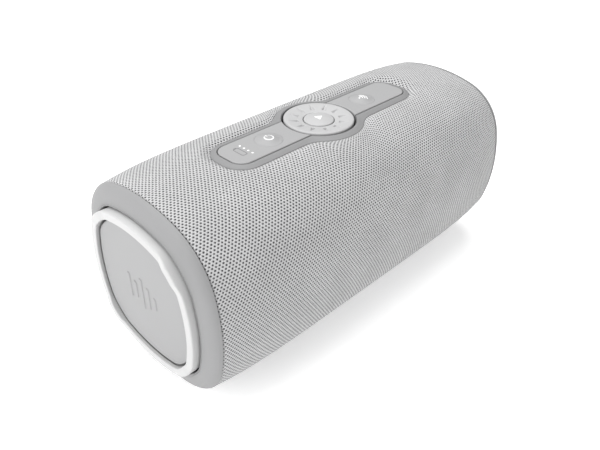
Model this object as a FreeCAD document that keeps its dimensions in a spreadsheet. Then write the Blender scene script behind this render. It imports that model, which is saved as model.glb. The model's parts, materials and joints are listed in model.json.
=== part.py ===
import FreeCAD, Part
import math
import os
import Sketcher

# Portable loudspeaker with a rounded-square body lying along X.
# The origin is at the bottom centre, +X runs along the body, -Y is the front, where the drivers
# face, and +Z is up. All sizes are in millimetres and live in the spreadsheet "sizes".

doc = FreeCAD.newDocument("speaker")
sheet = doc.addObject("Spreadsheet::Sheet", "sizes")
nodes = []

X_AXIS = FreeCAD.Vector(1, 0, 0)
Y_AXIS = FreeCAD.Vector(0, 1, 0)
Z_AXIS = FreeCAD.Vector(0, 0, 1)

# Turns a sketch so that it lies across an axis. Across X its own x and y run along Y and Z,
# across Y they run along X and Z, and across Z they run along X and Y.
ACROSS = {
    "X": FreeCAD.Rotation(FreeCAD.Vector(1, 1, 1), 120),
    "Y": FreeCAD.Rotation(X_AXIS, 90),
    "Z": FreeCAD.Rotation(),
}

# Half heights of the five bars on each radiator plate, as shares of the middle one's.
MOTIF_SHARES = (0.4, 0.7, 1.0, 0.55, 0.8)

# Turns a piece whose own axis is +Z so that the axis points along the named direction.
POINTING = {
    "+X": FreeCAD.Rotation(Y_AXIS, 90),
    "-X": FreeCAD.Rotation(Y_AXIS, -90),
    "+Y": FreeCAD.Rotation(X_AXIS, -90),
    "-Y": FreeCAD.Rotation(X_AXIS, 90),
    "+Z": FreeCAD.Rotation(),
    "-Z": FreeCAD.Rotation(X_AXIS, 180),
}


# ---------------------------------------------------------------- sizes

class Size:
    """A length: its value in mm and the spreadsheet expression that gives it."""

    def __init__(self, value, text):
        self.value = value
        self.text = text

    def __add__(self, other):
        other = as_size(other)
        return Size(self.value + other.value, f"({self.text} + {other.text})")

    def __sub__(self, other):
        other = as_size(other)
        return Size(self.value - other.value, f"({self.text} - {other.text})")

    def __mul__(self, other):
        other = as_size(other)
        return Size(self.value * other.value, f"({self.text} * {other.text})")

    def __truediv__(self, other):
        other = as_size(other)
        return Size(self.value / other.value, f"({self.text} / {other.text})")

    def __pow__(self, other):
        other = as_size(other)
        return Size(self.value ** other.value, f"({self.text} ^ {other.text})")

    def __radd__(self, other):
        return as_size(other) + self

    def __rsub__(self, other):
        return as_size(other) - self

    def __rmul__(self, other):
        return as_size(other) * self

    def __rpow__(self, other):
        return as_size(other) ** self

    def __neg__(self):
        return as_size(0) - self


def as_size(value):
    """A Size from a plain number, or the Size itself."""
    if isinstance(value, Size):
        return value
    return Size(float(value), f"{float(value):.6g}" if value >= 0 else f"(0 - {-float(value):.6g})")


def root(value):
    """The square root of a Size."""
    return Size(math.sqrt(value.value), f"sqrt({value.text})")


def size(alias, value, note):
    """Writes one driving dimension to the next row of the spreadsheet."""
    row = size.rows = size.rows + 1
    sheet.set(f"A{row}", alias)
    sheet.set(f"B{row}", str(value))
    sheet.set(f"C{row}", note)
    sheet.setAlias(f"B{row}", alias)
    return Size(float(value), f"sizes.{alias}")


size.rows = 0

# Body shell
half_size = size("half_size", 46.0, "half of the body's width and height at the middle")
side_radius = size("side_radius", 83.0, "radius of the gently curved sides of the section")
corner_radius = size("corner_radius", 31.0, "radius of the section's four corners")
fabric_end = size("fabric_end", 94.2, "distance from the middle to each edge of the fabric")
end_drop = size("end_drop", 2.65, "how much smaller the half size is at the fabric's edge")
taper_power = size("taper_power", 5.5, "how late the taper towards the ends begins")
foot_drop = size("foot_drop", 1.2, "how far the base foot stands below the fabric")
fabric_thickness = size("fabric_thickness", 1.4, "thickness of the knitted sleeve")
wrap_clearance = size("wrap_clearance", 0.2, "clearance between nested shells")
frame_wall = size("frame_wall", 1.6, "wall of the grille frame under the sleeve")
enclosure_wall = size("enclosure_wall", 2.2, "wall of the sealed enclosure")
seam_gap = size("seam_gap", 0.2, "gap between the fabric's edge and the bumper")
split_gap = size("split_gap", 0.8, "gasket between the two enclosure halves")
gasket_inset = size("gasket_inset", 0.3, "how far a gasket stays inside its wall")
near_round = size("near_round", 0.05, "how far a full-round end stops short of a half circle")
bite = size("bite", 0.1, "overlap of two solids that become one piece")

# Ends
end_frame_thickness = size("end_frame_thickness", 4.0, "thickness of the end frame")
opening_inset = size("opening_inset", 15.0, "radiator opening, in from the widest section")
roll_span = size("roll_span", 4.0, "width of the radiator's flexible roll")
lip_width = size("lip_width", 2.0, "width of the surround's glued lips")
surround_thickness = size("surround_thickness", 0.8, "thickness of the radiator surround")
ring_outer_inset = size("ring_outer_inset", 11.6, "foot ring, in from the widest section")
ring_band = size("ring_band", 3.9, "width of the foot ring's face")
ring_length = size("ring_length", 7.7, "length of the foot ring")
ring_lip = size("ring_lip", 1.8, "thickness of the foot ring's front lip")
ring_rounding = size("ring_rounding", 0.8, "rounding of the foot ring's outer edge")
edge_gap = size("edge_gap", 0.6, "visible gap beside the foot ring, inside and outside")
plate_recess = size("plate_recess", 1.5, "how far the radiator plate sits behind the ring's face")
plate_thickness = size("plate_thickness", 1.6, "thickness of the radiator plate")
weight_radius = size("weight_radius", 14.0, "radius of the radiator's weight")
weight_thickness = size("weight_thickness", 3.4, "thickness of the radiator's weight")
bumper_length = size("bumper_length", 4.6, "length of the end bumper")
bumper_rounding = size("bumper_rounding", 4.2, "rounding of the bumper's outer edge")
pad_half_length = size("pad_half_length", 6.5, "half length of a raised pad on the foot ring")
pad_half_width = size("pad_half_width", 1.9, "half width of a raised pad")
pad_height = size("pad_height", 0.7, "height of a raised pad")
motif_bar_half = size("motif_bar_half", 1.1, "half width of a bar in the raised motif")
motif_pitch = size("motif_pitch", 4.4, "distance between bars in the raised motif")
motif_reach = size("motif_reach", 8.0, "half height of the raised motif's middle bar")
motif_height = size("motif_height", 0.4, "height of the raised motif")

# Base foot
foot_half_length = size("foot_half_length", 60.0, "half length of the base foot")
foot_half_width = size("foot_half_width", 17.0, "half width of the base foot")
foot_corner = size("foot_corner", 8.0, "corner radius of the base foot")
cut_gap = size("cut_gap", 0.2, "gap between the fabric and a piece that comes through it")
tuck_room = size("tuck_room", 4.5, "room around the control module where the fabric rolls in")

# Screws
case_screw_radius = size("case_screw_radius", 1.25, "shank radius of the case screws")
case_screw_length = size("case_screw_length", 9.0, "shank length of the case screws")
case_head_radius = size("case_head_radius", 2.2, "head radius of the case screws")
case_head_height = size("case_head_height", 1.5, "head height of the case screws")
small_screw_radius = size("small_screw_radius", 0.95, "shank radius of the small screws")
small_screw_length = size("small_screw_length", 3.6, "shank length of the small screws")
small_head_radius = size("small_head_radius", 1.7, "head radius of the small screws")
small_head_height = size("small_head_height", 1.1, "head height of the small screws")
screw_clearance = size("screw_clearance", 0.06, "radial clearance around a screw")
boss_wall = size("boss_wall", 1.9, "wall of a screw boss around its hole")
case_boss_inset = size("case_boss_inset", 4.8, "case screw axis, in from the enclosure's surface")
case_screw_margin = size("case_screw_margin", 10.4, "outer case screws, in from the enclosure's end")
end_screw_inset = size("end_screw_inset", 4.5, "end screw axis, in from the corner's surface")

# Drivers
driver_spacing = size("driver_spacing", 45.0, "distance of each driver's axis from the middle")
driver_setback = size("driver_setback", 5.35, "driver's seat, in from the enclosure's front")
driver_margin = size("driver_margin", 12.45, "driver's flange, in from the enclosure's surface")
driver_flange = size("driver_flange", 1.8, "thickness of the driver's flange")
driver_rim = size("driver_rim", 2.7, "width of the flange outside the basket")
driver_ledge = size("driver_ledge", 0.8, "depth of the surround's seat in the flange")
basket_depth = size("basket_depth", 14.6, "depth of the basket behind its seat")
basket_skin = size("basket_skin", 1.2, "thickness of the basket")
basket_foot_share = size("basket_foot_share", 0.6, "basket foot's radius as a share of the flange's")
spider_depth = size("spider_depth", 9.4, "depth of the spider's ledge behind the seat")
cone_margin = size("cone_margin", 8.5, "width from the cone's edge to the flange's edge")
cone_lap = size("cone_lap", 1.4, "width of the surround's lap on the cone")
cone_depth = size("cone_depth", 8.4, "depth of the cone")
cone_skin = size("cone_skin", 0.5, "thickness of cone, surround, spider and cap")
seat_margin = size("seat_margin", 5.0, "width from the surround's seat to the flange's edge")
spider_seat_step = size("spider_seat_step", 0.6, "step outside the spider's ledge")
spider_ledge = size("spider_ledge", 2.0, "width of the spider's ledge")
coil_radius = size("coil_radius", 7.9, "outer radius of the voice coil")
coil_skin = size("coil_skin", 0.4, "thickness of the voice coil")
coil_length = size("coil_length", 9.5, "length of the voice coil")
coil_gap = size("coil_gap", 0.5, "air gap on each side of the voice coil")
magnet_bore = size("magnet_bore", 9.5, "inner radius of the ring magnet")
magnet_length = size("magnet_length", 6.4, "length of the ring magnet")
plate_steel = size("plate_steel", 2.6, "thickness of the magnet's steel plates")
cap_radius = size("cap_radius", 9.0, "radius of the dust cap")
cap_rise = size("cap_rise", 2.6, "height of the dust cap's dome")
ear_radius = size("ear_radius", 3.0, "radius of the flange's screw ears")
ear_offset = size("ear_offset", 2.0, "screw ears' axes, outside the flange's edge")
seat_clearance = size("seat_clearance", 0.3, "clearance around a piece set into another")
slot_pitch = size("slot_pitch", 5.4, "distance between the slots in the grille frame")
slot_height = size("slot_height", 3.2, "height of a slot in the grille frame")
slot_reach = size("slot_reach", 24.0, "radius that the slots cover in front of a driver")

# Control module
bezel_half_length = size("bezel_half_length", 58.3, "half length of the bezel")
bezel_half_width = size("bezel_half_width", 12.8, "half width of the bezel beside the dial")
bezel_corner = size("bezel_corner", 11.0, "corner radius of the bezel")
bezel_collar = size("bezel_collar", 3.6, "width of the bezel around the dial's well")
bezel_blend = size("bezel_blend", 14.0, "radius that blends the bulge into the sides")
bezel_slope_width = size("bezel_slope_width", 3.2, "width of the bezel's sloping band")
bezel_slope_drop = size("bezel_slope_drop", 1.1, "fall of the bezel's sloping band")
bezel_height = size("bezel_height", 3.6, "height of the bezel at its inner edge")
panel_recess = size("panel_recess", 1.6, "depth of the panel below the body's top")
panel_half_length = size("panel_half_length", 54.6, "half length of the raised panel")
panel_half_width = size("panel_half_width", 9.2, "half width of the raised panel")
panel_corner = size("panel_corner", 6.0, "corner radius of the raised panel")
panel_gap = size("panel_gap", 0.15, "gap between panel and bezel")
panel_plate = size("panel_plate", 1.2, "thickness of the plate under the panel")
tub_inset = size("tub_inset", 2.5, "how far the tub's wall is inside the bezel's outline")
tub_wall = size("tub_wall", 1.2, "wall, floor and flange of the control tub")
tub_depth = size("tub_depth", 6.0, "depth of the tub under its flange")
gasket_thickness = size("gasket_thickness", 0.6, "thickness of the tub gasket")
ledge_width = size("ledge_width", 3.0, "extra width of the enclosure's ledge around the tub")
ledge_thickness = size("ledge_thickness", 2.4, "thickness of the enclosure's ledge")
board_gap = size("board_gap", 0.4, "clearance around the control board")
board_thickness = size("board_thickness", 1.2, "thickness of the control board")
board_lift = size("board_lift", 1.6, "height of the control board above the tub's floor")
board_post_x = size("board_post_x", 22.0, "board post, distance along the body")
board_post_y = size("board_post_y", 5.5, "board post, distance from the middle line")
dial_radius = size("dial_radius", 16.2, "radius of the volume dial")
dial_gap = size("dial_gap", 0.9, "gap around the volume dial")
dial_proud = size("dial_proud", 0.2, "how far the dial stands above the panel")
dial_bore = size("dial_bore", 7.3, "radius of the dial's opening for the play button")
dial_web = size("dial_web", 0.7, "thickness of the dial's web over the encoder")
dial_lift = size("dial_lift", 0.4, "clearance under the dial")
dial_rounding = size("dial_rounding", 0.7, "rounding of the dial's upper edge")
groove_length = size("groove_length", 4.2, "length of a groove on the dial")
groove_width = size("groove_width", 1.2, "width of a groove on the dial")
groove_depth = size("groove_depth", 0.5, "depth of a groove on the dial")
groove_start = size("groove_start", 9.8, "radius where a groove starts")
hub_hole = size("hub_hole", 9.4, "radius of the hole under the dial")
rotor_radius = size("rotor_radius", 6.9, "outer radius of the encoder's rotor")
rotor_bore = size("rotor_bore", 4.8, "inner radius of the encoder's rotor")
rotor_clearance = size("rotor_clearance", 0.08, "running clearance around the rotor")
rotor_lift = size("rotor_lift", 0.8, "clearance under the rotor")
encoder_radius = size("encoder_radius", 10.4, "outer radius of the encoder's housing")
encoder_height = size("encoder_height", 2.6, "height of the encoder's housing")
press_travel = size("press_travel", 0.6, "travel of a button")
press_clearance = size("press_clearance", 0.1, "clearance left when a button is pressed")
play_gap = size("play_gap", 0.35, "gap around the play button")
play_height = size("play_height", 1.3, "height of the play button's rim above its underside")
play_dome = size("play_dome", 0.9, "rise of the play button's dome")
stem_radius = size("stem_radius", 2.1, "radius of a button's stem")
stem_guide = size("stem_guide", 2.3, "radius of the guide around a stem")
key_radius = size("key_radius", 6.2, "radius of the power and pairing buttons")
key_gap = size("key_gap", 0.2, "gap around the power and pairing buttons")
key_dome = size("key_dome", 1.4, "rise of the power and pairing buttons")
power_x = size("power_x", -31.0, "position of the power button along the body")
pair_x = size("pair_x", 30.0, "position of the pairing button along the body")
switch_half = size("switch_half", 2.3, "half width of a press switch")
switch_height = size("switch_height", 1.8, "height of a press switch's case")
plunger_radius = size("plunger_radius", 1.2, "radius of a press switch's plunger")
plunger_height = size("plunger_height", 0.4, "height of a press switch's plunger")
lights_x = size("lights_x", -43.6, "position of the battery lights along the body")
light_pitch = size("light_pitch", 2.7, "distance between the battery lights")
light_radius = size("light_radius", 0.45, "radius of a battery light")
light_clearance = size("light_clearance", 0.05, "radial clearance around a battery light")

# Port, board and battery
port_half_length = size("port_half_length", 20.0, "half length of the port bezel")
port_half_height = size("port_half_height", 7.5, "half height of the port bezel")
port_setback = size("port_setback", 0.8, "port bezel's face, in from the body's back")
port_pocket_length = size("port_pocket_length", 17.0, "half length of the pocket for the cover")
port_pocket_height = size("port_pocket_height", 5.2, "half height of the pocket for the cover")
port_pocket_depth = size("port_pocket_depth", 2.8, "depth of the pocket for the cover")
port_corner = size("port_corner", 4.0, "corner radius of the port bezel")
cover_gap = size("cover_gap", 0.3, "gap around the port cover")
cover_thickness = size("cover_thickness", 1.4, "thickness of the port cover")
cover_recess = size("cover_recess", 0.2, "depth of the closed cover behind the bezel's face")
knuckle_radius = size("knuckle_radius", 1.2, "radius of the cover's hinge knuckle")
knuckle_half = size("knuckle_half", 11.0, "half length of the cover's hinge knuckle")
pin_radius = size("pin_radius", 0.5, "radius of the hinge pin")
pin_clearance = size("pin_clearance", 0.05, "running clearance around the hinge pin")
pin_grip = size("pin_grip", 1.6, "length of the pin's ends in the bezel")
socket_half_width = size("socket_half_width", 4.47, "half width of the charging socket")
socket_half_height = size("socket_half_height", 1.63, "half height of the charging socket")
socket_wall = size("socket_wall", 0.3, "wall of the charging socket")
socket_depth = size("socket_depth", 6.0, "depth of the charging socket")
tongue_half_width = size("tongue_half_width", 3.35, "half width of the socket's tongue")
tongue_half_height = size("tongue_half_height", 0.35, "half height of the socket's tongue")
tongue_length = size("tongue_length", 4.6, "length of the socket's tongue")
main_board_setback = size("main_board_setback", 6.95, "main board, in from the enclosure's back")
main_board_thickness = size("main_board_thickness", 1.6, "thickness of the main board")
main_board_half_length = size("main_board_half_length", 45.0, "half length of the main board")
main_board_margin = size("main_board_margin", 9.0, "main board's edge, in from the bracket's edge")
board_hole_inset = size("board_hole_inset", 3.4, "screw axis, in from the board's corner")
cell_share = size("cell_share", 0.2, "battery cell's radius as a share of the body's half size")
cell_length = size("cell_length", 65.0, "length of a battery cell")
cell_gap = size("cell_gap", 1.0, "gap between the battery cells")
cell_clearance = size("cell_clearance", 0.15, "radial clearance around a cell")
bracket_plate = size("bracket_plate", 1.6, "thickness of the battery bracket's plate")
bracket_gap = size("bracket_gap", 1.2, "gap between the bracket and the main board")
bracket_rib = size("bracket_rib", 4.0, "thickness of the bracket's saddles")
bracket_rib_x = size("bracket_rib_x", 24.0, "distance of the saddles from the middle")
bracket_margin = size("bracket_margin", 14.95, "bracket's edge, in from the enclosure's surface")

# Levels and stations worked out from the sizes above
axis_height = half_size + foot_drop
seat_x = fabric_end + seam_gap
enclosure_end = seat_x - end_frame_thickness
frame_outer_inset = fabric_thickness + wrap_clearance
frame_inner_inset = frame_outer_inset + frame_wall
enclosure_inset = frame_inner_inset + end_drop + wrap_clearance
enclosure_half = half_size - enclosure_inset
opening_half = half_size - opening_inset
ring_outer_half = half_size - ring_outer_inset
ring_inner_half = ring_outer_half - ring_band
case_screw_span = enclosure_end - case_screw_margin
case_screw_back = case_screw_length * 0.6
case_boss_length = case_screw_length * 1.2
end_boss_length = case_screw_length * 0.9
end_hole_depth = case_screw_length * 0.75
driver_seat = enclosure_half - driver_setback
driver_radius = enclosure_half - driver_margin
driver_neck = driver_radius - driver_rim
basket_foot = driver_radius * basket_foot_share
cone_radius = driver_radius - cone_margin
surround_seat = driver_radius - seat_margin
ear_circle = driver_radius + ear_offset
ear_hole_depth = small_screw_length * 1.2
ear_boss_length = driver_flange + small_screw_length * 1.4
well_radius = dial_radius + dial_gap
bezel_bulge = well_radius + bezel_collar
play_radius = dial_bore - play_gap
port_face = half_size - port_setback
pocket_corner = cover_gap * 2.5
leaf_corner = pocket_corner - cover_gap
main_board_y = enclosure_half - main_board_setback
bracket_half_height = enclosure_half - bracket_margin
main_board_half_height = bracket_half_height - main_board_margin
cell_radius = half_size * cell_share
panel_level = axis_height + half_size - panel_recess
bezel_base = panel_level - bezel_height
flange_top = bezel_base - panel_plate
flange_base = flange_top - tub_wall
ledge_level = flange_base - gasket_thickness
tub_floor = ledge_level - tub_depth
board_base = tub_floor + tub_wall + board_lift
board_top = board_base + board_thickness
switch_top = board_top + switch_height + plunger_height
cutter_reach = as_size(30.0)


# ---------------------------------------------------------------- helpers

def bind(thing, path, value):
    """Sets a property of an object and ties it to the spreadsheet."""
    thing.setExpression(path, as_size(value).text)


def place(thing, along, rotation=None):
    """Moves an object to a point given as three sizes, and may turn it."""
    point = [as_size(value) for value in along]
    base = FreeCAD.Vector(*[value.value for value in point])
    thing.Placement = FreeCAD.Placement(base, rotation or FreeCAD.Rotation())
    for letter, value in zip("xyz", point):
        bind(thing, f"Placement.Base.{letter}", value)
    return thing


def node(label, thing):
    """Marks an object as one finished piece of the speaker."""
    thing.Label = label
    nodes.append(thing)
    return thing


def constrain(sketch, kind, *items):
    """Adds one constraint; a Size at the end is tied to the spreadsheet."""
    last = items[-1]
    if isinstance(last, Size):
        number = sketch.addConstraint(Sketcher.Constraint(kind, *items[:-1], last.value))
        sketch.setExpression(f"Constraints[{number}]", last.text)
    else:
        sketch.addConstraint(Sketcher.Constraint(kind, *items))


def arc(centre_x, centre_y, radius, start, end):
    """An arc drawn anticlockwise from start to end, in radians."""
    circle = Part.Circle(FreeCAD.Vector(centre_x, centre_y, 0), Z_AXIS, radius)
    return Part.ArcOfCircle(circle, start, end)


def line(start_x, start_y, end_x, end_y):
    """A straight line in a sketch."""
    return Part.LineSegment(FreeCAD.Vector(start_x, start_y, 0), FreeCAD.Vector(end_x, end_y, 0))


def chain(sketch, pieces):
    """Adds a closed run of lines and arcs, each tangent to the next, and returns their numbers.

    Each piece is its geometry and whether the run follows it from its start to its end."""
    numbers = [sketch.addGeometry(geometry, False) for geometry, _ in pieces]
    forward = [direction for _, direction in pieces]
    for place_now, number in enumerate(numbers):
        place_next = (place_now + 1) % len(numbers)
        leaves = 2 if forward[place_now] else 1
        enters = 1 if forward[place_next] else 2
        constrain(sketch, "Tangent", number, leaves, numbers[place_next], enters)
    return numbers


def equal_radii(sketch, numbers, radius):
    """Gives several arcs one radius, tied to the spreadsheet."""
    for number in numbers[1:]:
        constrain(sketch, "Equal", numbers[0], number)
    constrain(sketch, "Radius", numbers[0], radius)


def new_sketch(name, across, along):
    """A sketch lying across an axis through a point."""
    sketch = doc.addObject("Sketcher::SketchObject", name)
    return place(sketch, along, ACROSS[across])


def add_squircle(sketch, inset):
    """Draws the body's rounded-square section, moved inwards by the inset.

    Four wide arcs, centred on the axes beyond the middle, meet four corner arcs."""
    side = side_radius - inset
    corner = corner_radius - inset
    offset = side_radius - half_size
    between = (side_radius - corner_radius).value
    corner_at = (math.sqrt(2 * between ** 2 - offset.value ** 2) - offset.value) / 2
    swing = math.atan2(corner_at, corner_at + offset.value)
    quarter = math.pi / 2
    pieces = []
    for turn in range(4):
        angle = turn * quarter
        side_x = -offset.value * math.cos(angle)
        side_y = -offset.value * math.sin(angle)
        corner_angle = angle + quarter / 2
        corner_x = corner_at * math.sqrt(2) * math.cos(corner_angle)
        corner_y = corner_at * math.sqrt(2) * math.sin(corner_angle)
        pieces.append((arc(side_x, side_y, side.value, angle - swing, angle + swing), True))
        pieces.append((arc(corner_x, corner_y, corner.value, angle + swing, angle + quarter - swing), True))
    numbers = chain(sketch, pieces)
    equal_radii(sketch, numbers[0::2], side)
    equal_radii(sketch, numbers[1::2], corner)
    for turn, number in enumerate(numbers[0::2]):
        across_axis = -1 if turn % 2 == 0 else -2
        constrain(sketch, "PointOnObject", number, 3, across_axis)
        constrain(sketch, "Distance", number, 3, -1, 1, offset)


def add_rounded_rectangle(sketch, half_long, half_wide, corner):
    """Draws a rectangle with rounded corners around the sketch's origin."""
    long, wide, radius = half_long.value, half_wide.value, corner.value
    quarter = math.pi / 2
    pieces = [
        (line(long, radius - wide, long, wide - radius), True),
        (arc(long - radius, wide - radius, radius, 0, quarter), True),
        (line(long - radius, wide, radius - long, wide), True),
        (arc(radius - long, wide - radius, radius, quarter, 2 * quarter), True),
        (line(-long, wide - radius, -long, radius - wide), True),
        (arc(radius - long, radius - wide, radius, 2 * quarter, 3 * quarter), True),
        (line(radius - long, -wide, long - radius, -wide), True),
        (arc(long - radius, radius - wide, radius, 3 * quarter, 4 * quarter), True),
    ]
    numbers = chain(sketch, pieces)
    equal_radii(sketch, numbers[1::2], corner)
    constrain(sketch, "Vertical", numbers[0])
    constrain(sketch, "Horizontal", numbers[2])
    constrain(sketch, "Vertical", numbers[4])
    constrain(sketch, "Horizontal", numbers[6])
    constrain(sketch, "DistanceX", -1, 1, numbers[0], 1, half_long)
    constrain(sketch, "DistanceY", -1, 1, numbers[2], 1, half_wide)
    constrain(sketch, "DistanceX", numbers[4], 1, -1, 1, half_long)
    constrain(sketch, "DistanceY", numbers[6], 1, -1, 1, half_wide)


def add_panel_outline(sketch, inset):
    """Draws the control module's outline, moved inwards by the inset: a long rounded rectangle
    with a round bulge in the middle, blended into the sides."""
    long = (bezel_half_length - inset).value
    wide = (bezel_half_width - inset).value
    corner = bezel_corner - inset
    bulge = bezel_bulge - inset
    blend = bezel_blend + inset
    radius, round_part, soft = corner.value, bulge.value, blend.value
    blend_x = math.sqrt((round_part + soft) ** 2 - (wide + soft) ** 2)
    lean = math.atan2(wide + soft, blend_x)
    turn = math.pi
    quarter = turn / 2
    pieces = [
        (line(long, radius - wide, long, wide - radius), True),
        (arc(long - radius, wide - radius, radius, 0, quarter), True),
        (line(long - radius, wide, blend_x, wide), True),
        (arc(blend_x, wide + soft, soft, turn + lean, 3 * quarter), False),
        (arc(0, 0, round_part, lean, turn - lean), True),
        (arc(-blend_x, wide + soft, soft, 3 * quarter, 2 * turn - lean), False),
        (line(-blend_x, wide, radius - long, wide), True),
        (arc(radius - long, wide - radius, radius, quarter, turn), True),
        (line(-long, wide - radius, -long, radius - wide), True),
        (arc(radius - long, radius - wide, radius, turn, 3 * quarter), True),
        (line(radius - long, -wide, -blend_x, -wide), True),
        (arc(-blend_x, -wide - soft, soft, lean, quarter), False),
        (arc(0, 0, round_part, turn + lean, 2 * turn - lean), True),
        (arc(blend_x, -wide - soft, soft, quarter, turn - lean), False),
        (line(blend_x, -wide, long - radius, -wide), True),
        (arc(long - radius, radius - wide, radius, 3 * quarter, 2 * turn), True),
    ]
    numbers = chain(sketch, pieces)
    equal_radii(sketch, [numbers[index] for index in (1, 7, 9, 15)], corner)
    equal_radii(sketch, [numbers[index] for index in (3, 5, 11, 13)], blend)
    equal_radii(sketch, [numbers[index] for index in (4, 12)], bulge)
    for index in (4, 12):
        constrain(sketch, "Coincident", numbers[index], 3, -1, 1)
    for index in (2, 6, 10, 14):
        constrain(sketch, "Horizontal", numbers[index])
    for index in (0, 8):
        constrain(sketch, "Vertical", numbers[index])
    constrain(sketch, "DistanceX", -1, 1, numbers[0], 1, bezel_half_length - inset)
    constrain(sketch, "DistanceX", numbers[8], 1, -1, 1, bezel_half_length - inset)
    for index in (2, 6):
        constrain(sketch, "DistanceY", -1, 1, numbers[index], 1, bezel_half_width - inset)
    for index in (10, 14):
        constrain(sketch, "DistanceY", numbers[index], 1, -1, 1, bezel_half_width - inset)


def add_profile(sketch, points):
    """Draws a closed profile through points of radius and height.

    A third value is the radius of the arc that arrives at the point: positive if the arc turns
    left on its way, negative if it turns right."""
    edges = []
    for index, point in enumerate(points):
        start = points[index - 1]
        start_x, start_y = as_size(start[0]).value, as_size(start[1]).value
        end_x, end_y = as_size(point[0]).value, as_size(point[1]).value
        if len(point) == 2:
            edges.append((sketch.addGeometry(line(start_x, start_y, end_x, end_y), False), 1, 2))
            continue
        bend = as_size(point[2]).value
        chord = math.hypot(end_x - start_x, end_y - start_y)
        reach = math.copysign(math.sqrt(bend ** 2 - chord ** 2 / 4), bend) / chord
        centre_x = (start_x + end_x) / 2 - reach * (end_y - start_y)
        centre_y = (start_y + end_y) / 2 + reach * (end_x - start_x)
        from_start = math.atan2(start_y - centre_y, start_x - centre_x)
        from_end = math.atan2(end_y - centre_y, end_x - centre_x)
        if bend > 0:
            curve = arc(centre_x, centre_y, bend, from_start, from_end)
            edges.append((sketch.addGeometry(curve, False), 1, 2))
        else:
            curve = arc(centre_x, centre_y, -bend, from_end, from_start)
            edges.append((sketch.addGeometry(curve, False), 2, 1))
        constrain(sketch, "Radius", edges[-1][0], as_size(point[2]) if bend > 0 else -as_size(point[2]))
    for index, point in enumerate(points):
        number, _, last = edges[index]
        following, first, _ = edges[(index + 1) % len(edges)]
        constrain(sketch, "Coincident", number, last, following, first)
        constrain(sketch, "DistanceX", -1, 1, number, last, as_size(point[0]))
        constrain(sketch, "DistanceY", -1, 1, number, last, as_size(point[1]))


def extrude(name, sketch, direction, length):
    """A solid from a closed sketch pushed along a direction."""
    solid = doc.addObject("Part::Extrusion", name)
    solid.Base = sketch
    solid.DirMode = "Custom"
    solid.Dir = direction
    solid.Solid = True
    bind(solid, "LengthFwd", length)
    return solid


def loft(name, sketches, ruled):
    """A solid through several sketches of the same kind."""
    solid = doc.addObject("Part::Loft", name)
    solid.Sections = sketches
    solid.Solid = True
    solid.Ruled = ruled
    return solid


def box(name, low, sizes):
    """A box from its lowest corner and its three sizes."""
    solid = doc.addObject("Part::Box", name)
    for side, value in zip(("Length", "Width", "Height"), sizes):
        bind(solid, side, value)
    return place(solid, low)


def rod(name, start, direction, radius, length):
    """A cylinder from the middle of its first face."""
    solid = doc.addObject("Part::Cylinder", name)
    bind(solid, "Radius", radius)
    bind(solid, "Height", length)
    return place(solid, start, POINTING[direction])


def cut(name, base, *tools):
    """One solid with others taken out of it."""
    result = doc.addObject("Part::Cut", name)
    result.Base = base
    result.Tool = tools[0] if len(tools) == 1 else fuse(f"{name}_tools", *tools)
    return result


def fuse(name, *shapes):
    """Several solids joined into one."""
    result = doc.addObject("Part::MultiFuse", name)
    result.Shapes = list(shapes)
    return result


def common(name, first, second):
    """The space that two solids share."""
    result = doc.addObject("Part::Common", name)
    result.Base = first
    result.Tool = second
    return result


def group(name, shapes):
    """Separate solids kept together as one node."""
    result = doc.addObject("Part::Compound", name)
    result.Links = list(shapes)
    return result


def round_edges(name, base, radius, wanted):
    """Rounds the edges of a solid whose middle point passes a test."""
    doc.recompute()
    result = doc.addObject("Part::Fillet", name)
    result.Base = base
    picked = []
    for index, edge in enumerate(base.Shape.Edges, start=1):
        middle = edge.valueAt((edge.FirstParameter + edge.LastParameter) / 2)
        if wanted(middle, edge):
            picked.append((index, radius.value, radius.value))
    result.Edges = picked
    return result


def turned(name, points, along, direction):
    """A turned piece: a profile of radius and height spun about its own axis."""
    body = doc.addObject("PartDesign::Body", name)
    sketch = body.newObject("Sketcher::SketchObject", f"{name}_profile")
    plane = next(item for item in body.Origin.OriginFeatures if item.Role == "XZ_Plane")
    sketch.AttachmentSupport = [(plane, "")]
    sketch.MapMode = "FlatFace"
    add_profile(sketch, points)
    turn = body.newObject("PartDesign::Revolution", f"{name}_turn")
    turn.Profile = sketch
    turn.ReferenceAxis = (sketch, ["V_Axis"])
    turn.Angle = 360
    return place(body, along, POINTING[direction])


def squircle_slab(name, side, start, length, insets):
    """A slab or ring of the body's section between two stations, on the left or right side."""
    first = start if side > 0 else -(start + length)
    sketch = new_sketch(f"{name}_outline", "X", (first, 0, axis_height))
    for inset in insets:
        add_squircle(sketch, inset)
    return extrude(name, sketch, X_AXIS, length)


def tapered_body(name, inset):
    """The body's full length as a solid, moved inwards by the inset.

    The half size falls towards the ends with a high power of the distance from the middle."""
    sections = []
    for share in (-1.0, -0.85, -0.62, 0.0, 0.62, 0.85, 1.0):
        drop = end_drop * as_size(abs(share)) ** taper_power
        sketch = new_sketch(f"{name}_section", "X", (fabric_end * share, 0, axis_height))
        add_squircle(sketch, inset + drop)
        sections.append(sketch)
    return loft(name, sections, False)


def panel_slab(name, base, top, insets):
    """A slab or ring with the control module's outline between two heights."""
    sketch = new_sketch(f"{name}_outline", "Z", (0, 0, base))
    for inset in insets:
        add_panel_outline(sketch, inset)
    return extrude(name, sketch, Z_AXIS, top - base)


def rounded_slab(name, across, along, direction, length, half_long, half_wide, corner):
    """A slab with a rounded rectangle as its outline."""
    sketch = new_sketch(f"{name}_outline", across, along)
    add_rounded_rectangle(sketch, half_long, half_wide, corner)
    return extrude(name, sketch, direction, length)


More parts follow.
